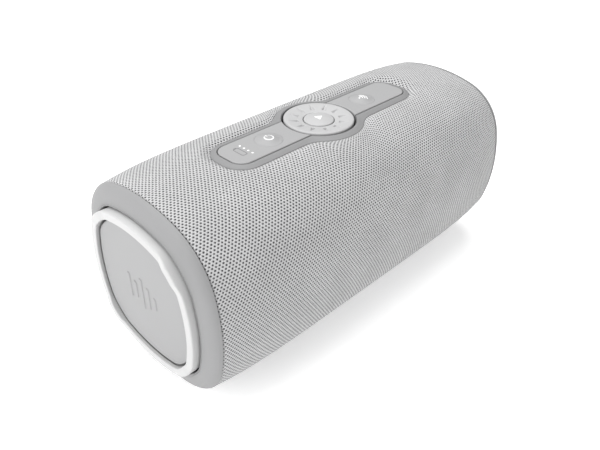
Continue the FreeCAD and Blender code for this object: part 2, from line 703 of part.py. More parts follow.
def case_screw(name, along, direction):
    """One case screw: a shank and a flat head, its head's underside at the given point."""
    points = [
        (0, 0 - case_head_height),
        (case_head_radius, 0 - case_head_height),
        (case_head_radius, 0),
        (case_screw_radius, 0),
        (case_screw_radius, case_screw_length),
        (0, case_screw_length),
    ]
    return turned(name, points, along, direction)


def small_screw(name, along, direction):
    """One small screw for boards, bracket and drivers."""
    points = [
        (0, 0 - small_head_height),
        (small_head_radius, 0 - small_head_height),
        (small_head_radius, 0),
        (small_screw_radius, 0),
        (small_screw_radius, small_screw_length),
        (0, small_screw_length),
    ]
    return turned(name, points, along, direction)


def corner_point(distance, turn):
    """Y and Z of a point on one of the four diagonals."""
    share = math.cos(math.pi / 4)
    y_sign = 1 if turn in (0, 3) else -1
    z_sign = 1 if turn in (0, 1) else -1
    return distance * (y_sign * share), axis_height + distance * (z_sign * share)


# The section reaches this far from the axis along its diagonals.
side_offset = side_radius - half_size
corner_along = (root(2 * (side_radius - corner_radius) ** 2 - side_offset ** 2) - side_offset) / 2
diagonal_reach = corner_along * math.sqrt(2) + corner_radius
end_screw_reach = diagonal_reach - enclosure_inset - end_screw_inset


# ---------------------------------------------------------------- shell

def module_opening(name, gap):
    """The opening in the body's top for the control module, wider than the module by the gap."""
    return panel_slab(f"{name}_top", flange_base, axis_height + half_size + cutter_reach, [0 - gap])


def foot_opening(name):
    """The opening in the fabric for the base foot."""
    return rounded_slab(f"{name}_foot", "Z", (0, 0, 0 - cutter_reach), Z_AXIS, cutter_reach + half_size / 2,
                        foot_half_length + cut_gap, foot_half_width + cut_gap, foot_corner + cut_gap)


def port_opening(name):
    """The opening in the body's back for the port."""
    return rounded_slab(f"{name}_port", "Y", (0, half_size / 2, axis_height), Y_AXIS, half_size,
                        port_half_length + cut_gap, port_half_height + cut_gap, port_corner + cut_gap)


def grille_slots():
    """Rows of slots in front of both drivers, each as long as its circle is wide there."""
    slots = []
    for side in (-1, 1):
        for row in range(-4, 5):
            rise = slot_pitch * row
            reach = root(slot_reach ** 2 - rise ** 2)
            middle = driver_spacing * side
            low = (middle - reach, 0 - half_size - cutter_reach, axis_height + rise - slot_height / 2)
            slots.append(box(f"slot_{side + 1}_{row + 4}", low,
                             (reach * 2, cutter_reach + half_size / 2, slot_height)))
    return slots


def build_sleeve_and_frame():
    """The fabric sleeve and the stiff slotted frame that carries it."""
    sleeve_outside = tapered_body("sleeve_outside", as_size(0))
    sleeve_inside = tapered_body("sleeve_inside", fabric_thickness)
    sleeve = cut("sleeve_tube", sleeve_outside, sleeve_inside)
    node("fabric_sleeve", cut("sleeve", sleeve, module_opening("sleeve", cut_gap), foot_opening("sleeve"),
                              port_opening("sleeve")))
    frame_outside = tapered_body("frame_outside", frame_outer_inset)
    frame_inside = tapered_body("frame_inside", frame_inner_inset)
    frame = cut("frame_tube", frame_outside, frame_inside)
    node("grille_frame", cut("grille", frame, module_opening("frame", tuck_room), port_opening("frame"),
                             *grille_slots()))
    foot_block = rounded_slab("foot_block", "Z", (0, 0, 0), Z_AXIS, half_size / 2,
                              foot_half_length, foot_half_width, foot_corner)
    foot_bed = tapered_body("foot_bed", frame_outer_inset - wrap_clearance / 2)
    node("base_foot", cut("foot", foot_block, foot_bed))


def case_screw_places():
    """Where the screws that hold the two enclosure halves together run, as X and Z."""
    low = axis_height - enclosure_half + case_boss_inset
    high = axis_height + enclosure_half - case_boss_inset
    places = [(case_screw_span * side, low) for side in (-1, 0, 1)]
    return places + [(case_screw_span * side, high) for side in (-1, 1)]


def build_enclosure():
    """The sealed box inside: a front half with the drivers' seats and a rear half with the posts
    for the boards, with a gasket between them and the module's ledge let into the top."""
    shell = squircle_slab("shell", 1, 0 - enclosure_end, enclosure_end * 2,
                          [enclosure_inset, enclosure_inset + enclosure_wall])
    body_space = squircle_slab("shell_space", 1, 0 - enclosure_end, enclosure_end * 2, [enclosure_inset])
    boss_radius = case_screw_radius + screw_clearance + boss_wall
    case_hole = case_screw_radius + screw_clearance
    added = []
    holes = []
    for index, (along, height) in enumerate(case_screw_places()):
        start = 0 - case_screw_back
        added.append(rod(f"case_boss_{index}", (along, start, height), "+Y", boss_radius,
                         case_boss_length))
        holes.append(rod(f"case_hole_{index}", (along, start - 1, height), "+Y", case_hole,
                         case_screw_length + 2))
    for side in (-1, 1):
        for turn in range(4):
            across, height = corner_point(end_screw_reach, turn)
            start = enclosure_end * side
            inwards = "-X" if side > 0 else "+X"
            added.append(rod(f"end_boss_{side + 1}_{turn}", (start, across, height), inwards, boss_radius,
                             end_boss_length))
            holes.append(rod(f"end_hole_{side + 1}_{turn}", (start, across, height), inwards, case_hole,
                             end_hole_depth))
    seat_front = 0 - driver_seat - driver_flange
    flange_room = driver_radius + seat_clearance
    ear_room = ear_radius + seat_clearance
    for side in (-1, 1):
        middle = driver_spacing * side
        added.append(rod(f"seat_boss_{side + 1}", (middle, seat_front, axis_height), "+Y",
                         flange_room + enclosure_wall, driver_flange + enclosure_wall * 1.5))
        holes.append(rod(f"seat_pocket_{side + 1}", (middle, 0 - driver_seat, axis_height), "-Y",
                         flange_room, cutter_reach))
        holes.append(rod(f"seat_hole_{side + 1}", (middle, 0 - driver_seat - 1, axis_height), "+Y",
                         driver_neck + seat_clearance, driver_seat / 2))
        for turn in range(4):
            across, height = corner_point(ear_circle, turn)
            along = middle + across
            added.append(rod(f"ear_boss_{side + 1}_{turn}", (along, seat_front, height), "+Y",
                             ear_room + boss_wall / 2, ear_boss_length))
            holes.append(rod(f"ear_pocket_{side + 1}_{turn}", (along, 0 - driver_seat, height), "-Y",
                             ear_room, cutter_reach))
            holes.append(rod(f"ear_hole_{side + 1}_{turn}", (along, 0 - driver_seat - 1, height), "+Y",
                             small_screw_radius + screw_clearance, ear_hole_depth + 1))
    ledge = panel_slab("ledge_block", ledge_level - ledge_thickness, ledge_level + gasket_thickness,
                       [0 - ledge_width])
    ledge_room = panel_slab("ledge_room", ledge_level, axis_height + half_size,
                            [0 - seat_clearance])
    tub_room = panel_slab("tub_room", tub_floor - cutter_reach / 3, axis_height + half_size,
                          [tub_inset - seat_clearance])
    post_top = as_size(main_board_y) + main_board_thickness
    posts = []
    for index, (along, height) in enumerate(board_screw_places()):
        posts.append(rod(f"board_post_{index}", (along, post_top, height), "+Y",
                         small_screw_radius + boss_wall, enclosure_half - post_top))
        holes.append(rod(f"board_post_hole_{index}", (along, post_top - 1, height), "+Y",
                         small_screw_radius + screw_clearance, small_screw_length))
    bracket_back = as_size(main_board_y) - bracket_gap
    for index, (along, height) in enumerate(bracket_screw_places()):
        posts.append(rod(f"bracket_post_{index}", (along, bracket_back, height), "+Y",
                         small_screw_radius + boss_wall, enclosure_half - bracket_back))
        holes.append(rod(f"bracket_post_hole_{index}", (along, bracket_back - 1, height), "+Y",
                         small_screw_radius + screw_clearance, small_screw_length))
    kept_posts = common("kept_posts", fuse("posts", *posts), body_space)
    holes.append(rounded_slab("socket_hole", "Y", (0, post_top, axis_height), Y_AXIS, half_size / 2,
                              socket_half_width + cut_gap, socket_half_height + cut_gap,
                              socket_half_height + cut_gap - near_round))
    solid = fuse("enclosure_solid", shell, ledge, kept_posts, *added)
    room_in_frame = tapered_body("room_in_frame", frame_inner_inset + wrap_clearance)
    kept_solid = common("enclosure_kept", solid, room_in_frame)
    whole = cut("enclosure_whole", kept_solid, *holes, ledge_room, tub_room)
    length = enclosure_end * 2
    depth = enclosure_half * 2
    low_z = axis_height - enclosure_half - 1
    half_gap = split_gap / 2
    height = depth * 1.2
    front_space = box("front_space", (0 - enclosure_end, 0 - depth, low_z),
                      (length, depth - half_gap, height))
    rear_space = box("rear_space", (0 - enclosure_end, half_gap, low_z), (length, depth, height))
    seam_space = box("seam_space", (0 - enclosure_end, 0 - half_gap, low_z), (length, split_gap, height))
    node("front_enclosure", common("enclosure_front", whole, front_space))
    node("rear_enclosure", common("enclosure_rear", whole, rear_space))
    seam_ring = squircle_slab("seam_ring", 1, 0 - enclosure_end, length,
                              [enclosure_inset + gasket_inset,
                               enclosure_inset + enclosure_wall - gasket_inset])
    seam_room = panel_slab("seam_room", tub_floor, axis_height + half_size, [0 - ledge_width])
    node("enclosure_gasket", cut("seam_gasket", common("seam_strips", seam_ring, seam_space), seam_room))
    screws = [case_screw(f"case_screw_{index}", (along, 0 - case_screw_back, height), "+Y")
              for index, (along, height) in enumerate(case_screw_places())]
    for side in (-1, 1):
        for turn in range(4):
            across, height = corner_point(end_screw_reach, turn)
            start = (seat_x - case_head_height) * side
            screws.append(case_screw(f"end_screw_{side + 1}_{turn}", (start, across, height),
                                     "-X" if side > 0 else "+X"))
    node("case_screws", group("case_screw_set", screws))


# ---------------------------------------------------------------- ends

def build_end(side, word):
    """The frame, radiator, foot ring and bumper of one end."""
    frame = squircle_slab(f"end_frame_{word}_ring", side, enclosure_end, end_frame_thickness,
                          [enclosure_inset, half_size - opening_half])
    holes = []
    outwards = "+X" if side > 0 else "-X"
    for turn in range(4):
        across, height = corner_point(end_screw_reach, turn)
        holes.append(rod(f"end_hole_{word}_{turn}", (enclosure_end * side, across, height), outwards,
                         case_screw_radius + screw_clearance, end_frame_thickness))
        head_start = (seat_x - case_head_height) * side
        holes.append(rod(f"end_head_{word}_{turn}", (head_start, across, height), outwards,
                         case_head_radius + screw_clearance, case_head_height))
    node(f"end_frame_{word}", cut(f"end_frame_{word}_cut", frame, *holes))

    outer_lip = half_size - opening_half
    inner_lip = outer_lip + roll_span
    roll_edge = outer_lip + wrap_clearance
    lips = squircle_slab(f"surround_{word}_lips", side, seat_x, surround_thickness,
                         [outer_lip - lip_width, inner_lip + lip_width])
    roll_space = squircle_slab(f"surround_{word}_roll", side, seat_x - roll_span / 2,
                               roll_span / 2 + surround_thickness, [roll_edge, inner_lip])
    roll_groove = squircle_slab(f"surround_{word}_groove", side, seat_x - roll_span / 2 + surround_thickness,
                                roll_span / 2 + surround_thickness,
                                [roll_edge + surround_thickness, inner_lip - surround_thickness])
    surround = cut(f"surround_{word}_cut", fuse(f"surround_{word}_all", lips, roll_space), roll_groove)
    node(f"radiator_surround_{word}", surround)

    ring_face = seat_x + ring_length
    plate_face = ring_face - plate_recess
    plate_back = plate_face - plate_thickness
    boss_start = seat_x + surround_thickness
    plate_inset = half_size - ring_inner_half + edge_gap
    disc = squircle_slab(f"plate_{word}_disc", side, plate_back, plate_thickness, [plate_inset])
    boss = squircle_slab(f"plate_{word}_boss", side, boss_start, plate_back - boss_start,
                         [inner_lip + gasket_inset])
    bars = []
    for index, share in enumerate(MOTIF_SHARES):
        offset = motif_pitch * (index - 2)
        start = plate_face * side
        bars.append(rounded_slab(f"motif_{word}_{index}", "X", (start, offset, axis_height),
                                 X_AXIS * side, motif_height, motif_bar_half, motif_reach * share,
                                 motif_bar_half - near_round))
    node(f"radiator_plate_{word}", fuse(f"plate_{word}", disc, boss, *bars))
    weight_start = (boss_start - weight_thickness) * side
    node(f"radiator_weight_{word}", rod(f"weight_{word}", (weight_start, 0, axis_height), outwards,
                                        weight_radius, weight_thickness))

    wall_inset = outer_lip - lip_width - wrap_clearance
    ring_inset = half_size - ring_outer_half
    wall = squircle_slab(f"ring_{word}_wall", side, seat_x, ring_length, [ring_inset, wall_inset])
    lip = squircle_slab(f"ring_{word}_lip", side, ring_face - ring_lip, ring_lip,
                        [ring_inset, half_size - ring_inner_half])
    rounded = round_edges(f"ring_{word}_rounded", fuse(f"ring_{word}_plain", wall, lip), ring_rounding,
                          lambda middle, edge: on_outer_rim(middle, ring_face, ring_outer_half))
    pads = []
    pad_reach = diagonal_reach - half_size + (ring_outer_half + ring_inner_half) / 2
    for turn in range(4):
        across, height = corner_point(pad_reach, turn)
        pad = rounded_slab(f"pad_{word}_{turn}", "X", (ring_face * side, across, height), X_AXIS * side,
                           pad_height, pad_half_length, pad_half_width, pad_half_width - near_round)
        lean = 45 if turn in (1, 3) else -45
        sketch = pad.Base
        sketch.Placement = FreeCAD.Placement(sketch.Placement.Base,
                                             FreeCAD.Rotation(X_AXIS, lean) * ACROSS["X"])
        pads.append(pad)
    node(f"foot_ring_{word}", fuse(f"ring_{word}", rounded, *pads))

    bumper = squircle_slab(f"bumper_{word}_ring", side, seat_x, bumper_length,
                           [end_drop, ring_inset - edge_gap])
    bumper_face = seat_x + bumper_length
    node(f"end_bumper_{word}",
         round_edges(f"bumper_{word}", bumper, bumper_rounding,
                     lambda middle, edge: on_outer_rim(middle, bumper_face, half_size - end_drop)))


def on_outer_rim(middle, station, half):
    """Whether an edge's middle lies on the outer rim of a slab's outward face."""
    if abs(abs(middle.x) - station.value) > 0.01:
        return False
    return math.hypot(middle.y, middle.z - axis_height.value) > half.value - 0.5


# ---------------------------------------------------------------- drivers

def driver_place(side):
    """The middle of a driver's seat, from which its own axis points forwards."""
    return driver_spacing * side, 0 - driver_seat, axis_height


def build_driver(side, word):
    """One full-range driver, facing the front."""
    middle = driver_place(side)
    ledge = driver_flange - driver_ledge
    inner_wall = driver_neck - basket_skin * 2
    basket = turned(f"basket_{word}_body", [
        (surround_seat, ledge),
        (inner_wall - basket_skin, 0 - driver_flange),
        (basket_foot + spider_seat_step, 0 - spider_depth),
        (basket_foot - spider_ledge, 0 - spider_depth),
        (basket_foot - spider_ledge, basket_skin - basket_depth),
        (coil_radius + coil_gap * 3, basket_skin - basket_depth),
        (coil_radius + coil_gap * 3, 0 - basket_depth),
        (basket_foot, 0 - basket_depth),
        (basket_foot, 0 - spider_depth - basket_skin),
        (driver_neck, 0 - driver_flange * 2),
        (driver_neck, 0),
        (driver_radius, 0),
        (driver_radius, driver_flange),
        (driver_radius - basket_skin, driver_flange),
        (driver_radius - basket_skin, ledge),
    ], middle, "-Y")
    ears = []
    holes = []
    for turn in range(4):
        across, height = corner_point(ear_circle, turn)
        start = (middle[0] + across, middle[1], height)
        ears.append(rod(f"ear_{word}_{turn}", start, "-Y", ear_radius, driver_flange))
        holes.append(rod(f"ear_hole_{word}_{turn}", start, "-Y", small_screw_radius + screw_clearance,
                         driver_flange))
    inner_room = rod(f"flange_room_{word}", middle, "-Y", driver_radius - basket_skin, driver_flange)
    ear_rim = cut(f"ear_rim_{word}", fuse(f"ears_{word}", *ears), inner_room)
    node(f"driver_basket_{word}", cut(f"basket_{word}", fuse(f"basket_{word}_all", basket, ear_rim), *holes))

    roll_inner = cone_radius + cone_skin / 2
    roll_outer = surround_seat + cone_skin / 2
    roll = (roll_outer - roll_inner) / 2
    node(f"driver_surround_{word}", turned(f"surround_{word}", [
        (cone_radius - cone_lap, ledge),
        (roll_inner, ledge),
        (roll_outer, ledge, 0 - roll * 1.02),
        (driver_radius - basket_skin - cone_skin, ledge),
        (driver_radius - basket_skin - cone_skin, ledge + cone_skin),
        (roll_outer + cone_skin, ledge + cone_skin),
        (roll_inner - cone_skin, ledge + cone_skin, (roll + cone_skin) * 1.02),
        (cone_radius - cone_lap, ledge + cone_skin),
    ], middle, "-Y"))
    throat = ledge - cone_depth
    node(f"driver_cone_{word}", turned(f"cone_{word}", [
        (coil_radius, throat - cone_skin),
        (cone_radius, ledge - cone_skin),
        (cone_radius, ledge),
        (coil_radius, throat),
    ], middle, "-Y"))
    cap_rim = throat + cone_depth * ((cap_radius - coil_radius) / (cone_radius - coil_radius))
    cap_bend = (cap_radius ** 2 + cap_rise ** 2) / (cap_rise * 2)
    node(f"driver_dust_cap_{word}", turned(f"dust_cap_{word}", [
        (0, cap_rim + cap_rise + cone_skin),
        (cap_radius, cap_rim + cone_skin, 0 - cap_bend),
        (cap_radius, cap_rim),
        (0, cap_rim + cap_rise, cap_bend),
    ], middle, "-Y"))
    coil_back = throat - cone_skin - coil_length
    node(f"voice_coil_{word}", turned(f"coil_{word}", [
        (coil_radius - coil_skin, coil_back),
        (coil_radius, coil_back),
        (coil_radius, throat - cone_skin),
        (coil_radius - coil_skin, throat - cone_skin),
    ], middle, "-Y"))
    node(f"driver_spider_{word}", turned(f"spider_{word}", [
        (coil_radius + light_clearance, 0 - spider_depth),
        (basket_foot - coil_skin, 0 - spider_depth),
        (basket_foot - coil_skin, coil_skin - spider_depth),
        (coil_radius + light_clearance, coil_skin - spider_depth),
    ], middle, "-Y"))
    plate_back = 0 - basket_depth - plate_steel
    magnet_back = plate_back - magnet_length
    node(f"driver_top_plate_{word}", turned(f"top_plate_{word}", [
        (coil_radius + coil_gap, plate_back),
        (basket_foot, plate_back),
        (basket_foot, 0 - basket_depth),
        (coil_radius + coil_gap, 0 - basket_depth),
    ], middle, "-Y"))
    node(f"driver_magnet_{word}", turned(f"magnet_{word}", [
        (magnet_bore, magnet_back),
        (basket_foot, magnet_back),
        (basket_foot, plate_back),
        (magnet_bore, plate_back),
    ], middle, "-Y"))
    pole = coil_radius - coil_skin - coil_gap
    node(f"driver_yoke_{word}", turned(f"yoke_{word}", [
        (0, magnet_back - plate_steel),
        (basket_foot, magnet_back - plate_steel),
        (basket_foot, magnet_back),
        (pole, magnet_back),
        (pole, 0 - basket_depth - cone_skin),
        (0, 0 - basket_depth - cone_skin),
    ], middle, "-Y"))


def build_driver_screws():
    """Four small screws through the ears of each driver."""
    screws = []
    for side in (-1, 1):
        middle = driver_place(side)
        for turn in range(4):
            across, height = corner_point(ear_circle, turn)
            start = (middle[0] + across, middle[1] - driver_flange, height)
            screws.append(small_screw(f"driver_screw_{side + 1}_{turn}", start, "+Y"))
    node("driver_screws", group("driver_screw_set", screws))


# ---------------------------------------------------------------- control module

def domed_cap(name, along, base, rim, radius, rise):
    """A round cap with straight sides up to its rim and a shallow dome above it."""
    bend = (radius ** 2 + rise ** 2) / (rise * 2)
    points = [
        (0, 0),
        (radius, 0),
        (radius, rim - base),
        (0, rim - base + rise, bend),
    ]
    return turned(name, points, (along, 0, base), "+Z")


def build_key(word, label, along):
    """A domed key with its stem over a press switch."""
    base = bezel_base + press_travel + press_clearance
    cap = domed_cap(f"{word}_cap", along, base, panel_level, key_radius, key_dome)
    stem_base = switch_top + press_travel + press_clearance
    stem = rod(f"{word}_stem", (along, 0, stem_base), "+Z", stem_radius, base - stem_base + bite)
    node(label, fuse(f"{word}_key", cap, stem))


def build_dial():
    """The volume dial with twelve grooves, and the encoder that it turns."""
    top = panel_level + dial_proud
    base = bezel_base + dial_lift
    dial = turned("dial_body", [
        (dial_bore, base + dial_web),
        (rotor_bore + rotor_clearance, base + dial_web),
        (rotor_bore + rotor_clearance, base),
        (dial_radius, base),
        (dial_radius, top - dial_rounding),
        (dial_radius - dial_rounding, top, dial_rounding),
        (dial_bore + dial_rounding / 2, top),
        (dial_bore, top - dial_rounding / 2, dial_rounding / 2),
    ], (0, 0, 0), "+Z")
    grooves = []
    for step in range(12):
        groove = box(f"groove_{step}", (0, 0, top - groove_depth),
                     (groove_length, groove_width, groove_depth * 2))
        angle = step * math.pi / 6
        low_x = groove_start * math.cos(angle) + groove_width * (math.sin(angle) / 2)
        low_y = groove_start * math.sin(angle) - groove_width * (math.cos(angle) / 2)
        groove.Placement = FreeCAD.Placement(groove.Placement.Base, FreeCAD.Rotation(Z_AXIS, step * 30))
        bind(groove, "Placement.Base.x", low_x)
        bind(groove, "Placement.Base.y", low_y)
        grooves.append(groove)
    node("volume_dial", cut("dial", dial, *grooves))
    node("encoder_rotor", turned("rotor", [
        (rotor_bore, board_top + rotor_lift),
        (rotor_radius, board_top + rotor_lift),
        (rotor_radius, base),
        (rotor_bore, base),
    ], (0, 0, 0), "+Z"))
    node("encoder_housing", turned("encoder", [
        (rotor_radius + rotor_clearance, board_top),
        (encoder_radius, board_top),
        (encoder_radius, board_top + encoder_height),
        (rotor_radius + rotor_clearance, board_top + encoder_height),
    ], (0, 0, 0), "+Z"))
    play_base = base + dial_web + press_travel + press_clearance
    cap = domed_cap("play_cap", as_size(0), play_base, play_base + play_height, play_radius, play_dome)
    stem_base = switch_top + press_travel + press_clearance
    stem = rod("play_stem", (0, 0, stem_base), "+Z", stem_radius, play_base - stem_base + bite)
    node("play_button", fuse("play", cap, stem))


def board_post_places():
    """Where the control board's screws stand, as X and Y."""
    return [(board_post_x * x_sign, board_post_y * y_sign) for x_sign in (-1, 1) for y_sign in (-1, 1)]


def build_control_module():
    """The tub let into the enclosure's top with its board, the panel, the bezel and the keys."""
    outer = panel_slab("tub_outer", tub_floor, flange_base, [tub_inset])
    flange = panel_slab("tub_flange", flange_base, flange_top, [as_size(0)])
    inner = panel_slab("tub_inner", tub_floor + tub_wall, flange_top + 1, [tub_inset + tub_wall])
    posts = [rod(f"tub_post_{index}", (along, across, tub_floor + tub_wall), "+Z",
                 small_screw_radius + boss_wall / 2, board_lift)
             for index, (along, across) in enumerate(board_post_places())]
    hole_base = board_top - small_screw_length - screw_clearance
    post_holes = [rod(f"tub_post_hole_{index}", (along, across, hole_base), "+Z",
                      small_screw_radius + screw_clearance, cutter_reach)
                  for index, (along, across) in enumerate(board_post_places())]
    tray = cut("tub_tray", fuse("tub_walls", outer, flange), inner)
    node("control_tub", cut("tub", fuse("tub_with_posts", tray, *posts), *post_holes))
    node("tub_gasket", panel_slab("tub_seal", ledge_level, flange_base,
                                  [gasket_inset, tub_inset - gasket_inset]))
    board = panel_slab("control_plate", board_base, board_top, [tub_inset + tub_wall + board_gap])
    board_holes = [rod(f"control_hole_{index}", (along, across, board_base), "+Z",
                       small_screw_radius + screw_clearance, board_thickness)
                   for index, (along, across) in enumerate(board_post_places())]
    node("control_board", cut("control_pcb", board, *board_holes))
    switches = []
    for index, along in enumerate((power_x, as_size(0), pair_x)):
        case = box(f"switch_case_{index}", (along - switch_half, 0 - switch_half, board_top),
                   (switch_half * 2, switch_half * 2, switch_height))
        plunger = rod(f"switch_plunger_{index}", (along, 0, board_top + switch_height - bite), "+Z",
                      plunger_radius, plunger_height + bite)
        switches.append(fuse(f"switch_{index}", case, plunger))
    node("press_switches", group("switch_set", switches))

    well = rod("well_room", (0, 0, bezel_base), "+Z", well_radius, cutter_reach)
    plate = panel_slab("panel_base", flange_top, bezel_base, [as_size(0)])
    lands = rounded_slab("panel_lands", "Z", (0, 0, bezel_base), Z_AXIS, bezel_height,
                         panel_half_length, panel_half_width, panel_corner)
    holes = [rod("hub_room", (0, 0, flange_top), "+Z", hub_hole, cutter_reach)]
    for word, along in (("power", power_x), ("pair", pair_x)):
        holes.append(rod(f"{word}_hole", (along, 0, bezel_base), "+Z", key_radius + key_gap, cutter_reach))
        holes.append(rod(f"{word}_guide", (along, 0, flange_top), "+Z", stem_guide, cutter_reach))
    lights = []
    for index in range(4):
        across = light_pitch * (index - 1.5)
        holes.append(rod(f"light_hole_{index}", (lights_x, across, flange_top), "+Z",
                         light_radius + light_clearance, cutter_reach))
        lights.append(rod(f"light_{index}", (lights_x, across, board_top), "+Z", light_radius,
                          panel_level - board_top))
    node("control_panel", cut("panel", fuse("panel_solid", plate, lands), well, *holes))
    node("battery_lights", group("light_set", lights))

    rim = panel_slab("bezel_rim", bezel_base, panel_level - bezel_slope_drop, [as_size(0)])
    edge_sketches = []
    for name, height, inset in (("low", panel_level - bezel_slope_drop, as_size(0)),
                                ("high", panel_level, bezel_slope_width)):
        sketch = new_sketch(f"bezel_{name}_outline", "Z", (0, 0, height))
        add_panel_outline(sketch, inset)
        edge_sketches.append(sketch)
    slope = loft("bezel_slope", edge_sketches, True)
    window = rounded_slab("bezel_window", "Z", (0, 0, bezel_base), Z_AXIS, cutter_reach,
                          panel_half_length + panel_gap, panel_half_width + panel_gap,
                          panel_corner + panel_gap)
    bezel_well = rod("bezel_well", (0, 0, bezel_base), "+Z", well_radius, cutter_reach)
    node("control_bezel", cut("bezel", fuse("bezel_solid", rim, slope), window, bezel_well))
    build_dial()
    build_key("power", "power_button", power_x)
    build_key("pair", "pairing_button", pair_x)


# ---------------------------------------------------------------- port, boards and battery

def board_screw_places():
    """Where the main board's screws stand, as X and Z."""
    along = main_board_half_length - board_hole_inset
    rise = main_board_half_height - board_hole_inset
    return [(along * x_sign, axis_height + rise * z_sign) for x_sign in (-1, 1) for z_sign in (-1, 1)]


def bracket_screw_places():
    """Where the battery bracket's screws stand, as X and Z."""
    rise = bracket_half_height - board_hole_inset
    return [(bracket_rib_x * x_sign, axis_height + rise * z_sign)
            for x_sign in (-1, 1) for z_sign in (-1, 1)]


def build_port():
    """The charging port at the back: its bezel, hinged cover, pin and socket."""
    bezel_back = enclosure_half + cut_gap
    pocket_floor = port_face - port_pocket_depth
    hinge_y = port_face - cover_recess - knuckle_radius
    hinge_z = axis_height - port_pocket_height + cover_gap + knuckle_radius
    block = rounded_slab("port_block", "Y", (0, bezel_back, axis_height), Y_AXIS, port_face - bezel_back,
                         port_half_length, port_half_height, port_corner)
    pocket = rounded_slab("port_pocket", "Y", (0, pocket_floor, axis_height), Y_AXIS, cutter_reach,
                          port_pocket_length, port_pocket_height, pocket_corner)
    way_in = rounded_slab("port_way_in", "Y", (0, bezel_back - 1, axis_height), Y_AXIS, cutter_reach,
                          socket_half_width + pin_clearance, socket_half_height + pin_clearance,
                          socket_half_height)
    pin_half = port_pocket_length + pin_grip
    pin_hole = rod("port_pin_hole", (0 - pin_half, hinge_y, hinge_z), "+X", pin_radius + pin_clearance,
                   pin_half * 2)
    node("port_bezel", cut("port", block, pocket, way_in, pin_hole))
    node("port_hinge_pin", rod("hinge_pin", (0 - pin_half, hinge_y, hinge_z), "+X", pin_radius,
                               pin_half * 2))
    leaf_top = axis_height + port_pocket_height - cover_gap
    leaf_y = port_face - cover_recess - cover_thickness
    leaf_half_height = (leaf_top - hinge_z) / 2
    leaf = rounded_slab("cover_leaf", "Y", (0, leaf_y, hinge_z + leaf_half_height), Y_AXIS, cover_thickness,
                        port_pocket_length - cover_gap, leaf_half_height, leaf_corner)
    knuckle = rod("cover_knuckle", (0 - knuckle_half, hinge_y, hinge_z), "+X", knuckle_radius,
                  knuckle_half * 2)
    bore = rod("cover_bore", (0 - pin_half, hinge_y, hinge_z), "+X", pin_radius + pin_clearance,
               pin_half * 2)
    node("port_cover", cut("cover", fuse("cover_solid", leaf, knuckle), bore))
    board_back = as_size(main_board_y) + main_board_thickness
    case = rounded_slab("socket_case", "Y", (0, board_back, axis_height), Y_AXIS, pocket_floor - board_back,
                        socket_half_width, socket_half_height, socket_half_height - near_round)
    hollow = rounded_slab("socket_hollow", "Y", (0, pocket_floor - socket_depth, axis_height), Y_AXIS,
                          socket_depth, socket_half_width - socket_wall, socket_half_height - socket_wall,
                          socket_half_height - socket_wall - near_round)
    tongue = box("socket_tongue", (0 - tongue_half_width, pocket_floor - socket_depth - bite,
                                   axis_height - tongue_half_height),
                 (tongue_half_width * 2, tongue_length, tongue_half_height * 2))
    node("charging_socket", fuse("socket", cut("socket_shell", case, hollow), tongue))


def build_power():
    """The main board, the two cells and the bracket that holds them."""
    board = box("main_plate", (0 - main_board_half_length, main_board_y,
                               axis_height - main_board_half_height),
                (main_board_half_length * 2, main_board_thickness, main_board_half_height * 2))
    board_holes = [rod(f"main_hole_{index}", (along, main_board_y, height), "+Y",
                       small_screw_radius + screw_clearance, main_board_thickness)
                   for index, (along, height) in enumerate(board_screw_places())]
    node("main_board", cut("main_pcb", board, *board_holes))
    plate_front = as_size(main_board_y) - bracket_gap - bracket_plate
    cell_y = plate_front - cell_radius - cell_clearance
    cell_rise = cell_radius + cell_gap / 2
    plate = box("bracket_back", (0 - bracket_rib_x - bracket_rib, plate_front,
                                 axis_height - bracket_half_height),
                ((bracket_rib_x + bracket_rib) * 2, bracket_plate, bracket_half_height * 2))
    solids = [plate]
    for side in (-1, 1):
        middle = bracket_rib_x * side
        solids.append(box(f"bracket_rib_{side + 1}",
                          (middle - bracket_rib / 2, cell_y, axis_height - bracket_half_height * 0.8),
                          (bracket_rib, plate_front - cell_y + bite, bracket_half_height * 1.6)))
    room = [rod(f"cell_room_{sign + 1}", (0 - cell_length, cell_y, axis_height + cell_rise * sign), "+X",
                cell_radius + cell_clearance, cell_length * 2) for sign in (-1, 1)]
    holes = [rod(f"bracket_hole_{index}", (along, plate_front - cutter_reach / 2, height), "+Y",
                 small_screw_radius + screw_clearance, cutter_reach)
             for index, (along, height) in enumerate(bracket_screw_places())]
    heads = [rod(f"bracket_head_{index}", (along, plate_front - cutter_reach / 2, height), "+Y",
                 small_head_radius + screw_clearance * 2, cutter_reach / 2)
             for index, (along, height) in enumerate(bracket_screw_places())]
    node("battery_bracket", cut("bracket", fuse("bracket_solid", *solids), *room, *holes, *heads))
    cells = [rod(f"cell_{sign + 1}", (0 - cell_length / 2, cell_y, axis_height + cell_rise * sign), "+X",
                 cell_radius, cell_length) for sign in (-1, 1)]
    node("battery_cells", group("cell_set", cells))
    screws = [small_screw(f"board_screw_{index}", (along, main_board_y, height), "+Y")
              for index, (along, height) in enumerate(board_screw_places())]
    screws += [small_screw(f"bracket_screw_{index}", (along, plate_front, height), "+Y")
               for index, (along, height) in enumerate(bracket_screw_places())]
    screws += [small_screw(f"tub_screw_{index}", (along, across, board_top), "-Z")
               for index, (along, across) in enumerate(board_post_places())]
    node("board_screws", group("board_screw_set", screws))


# ---------------------------------------------------------------- build, check, export

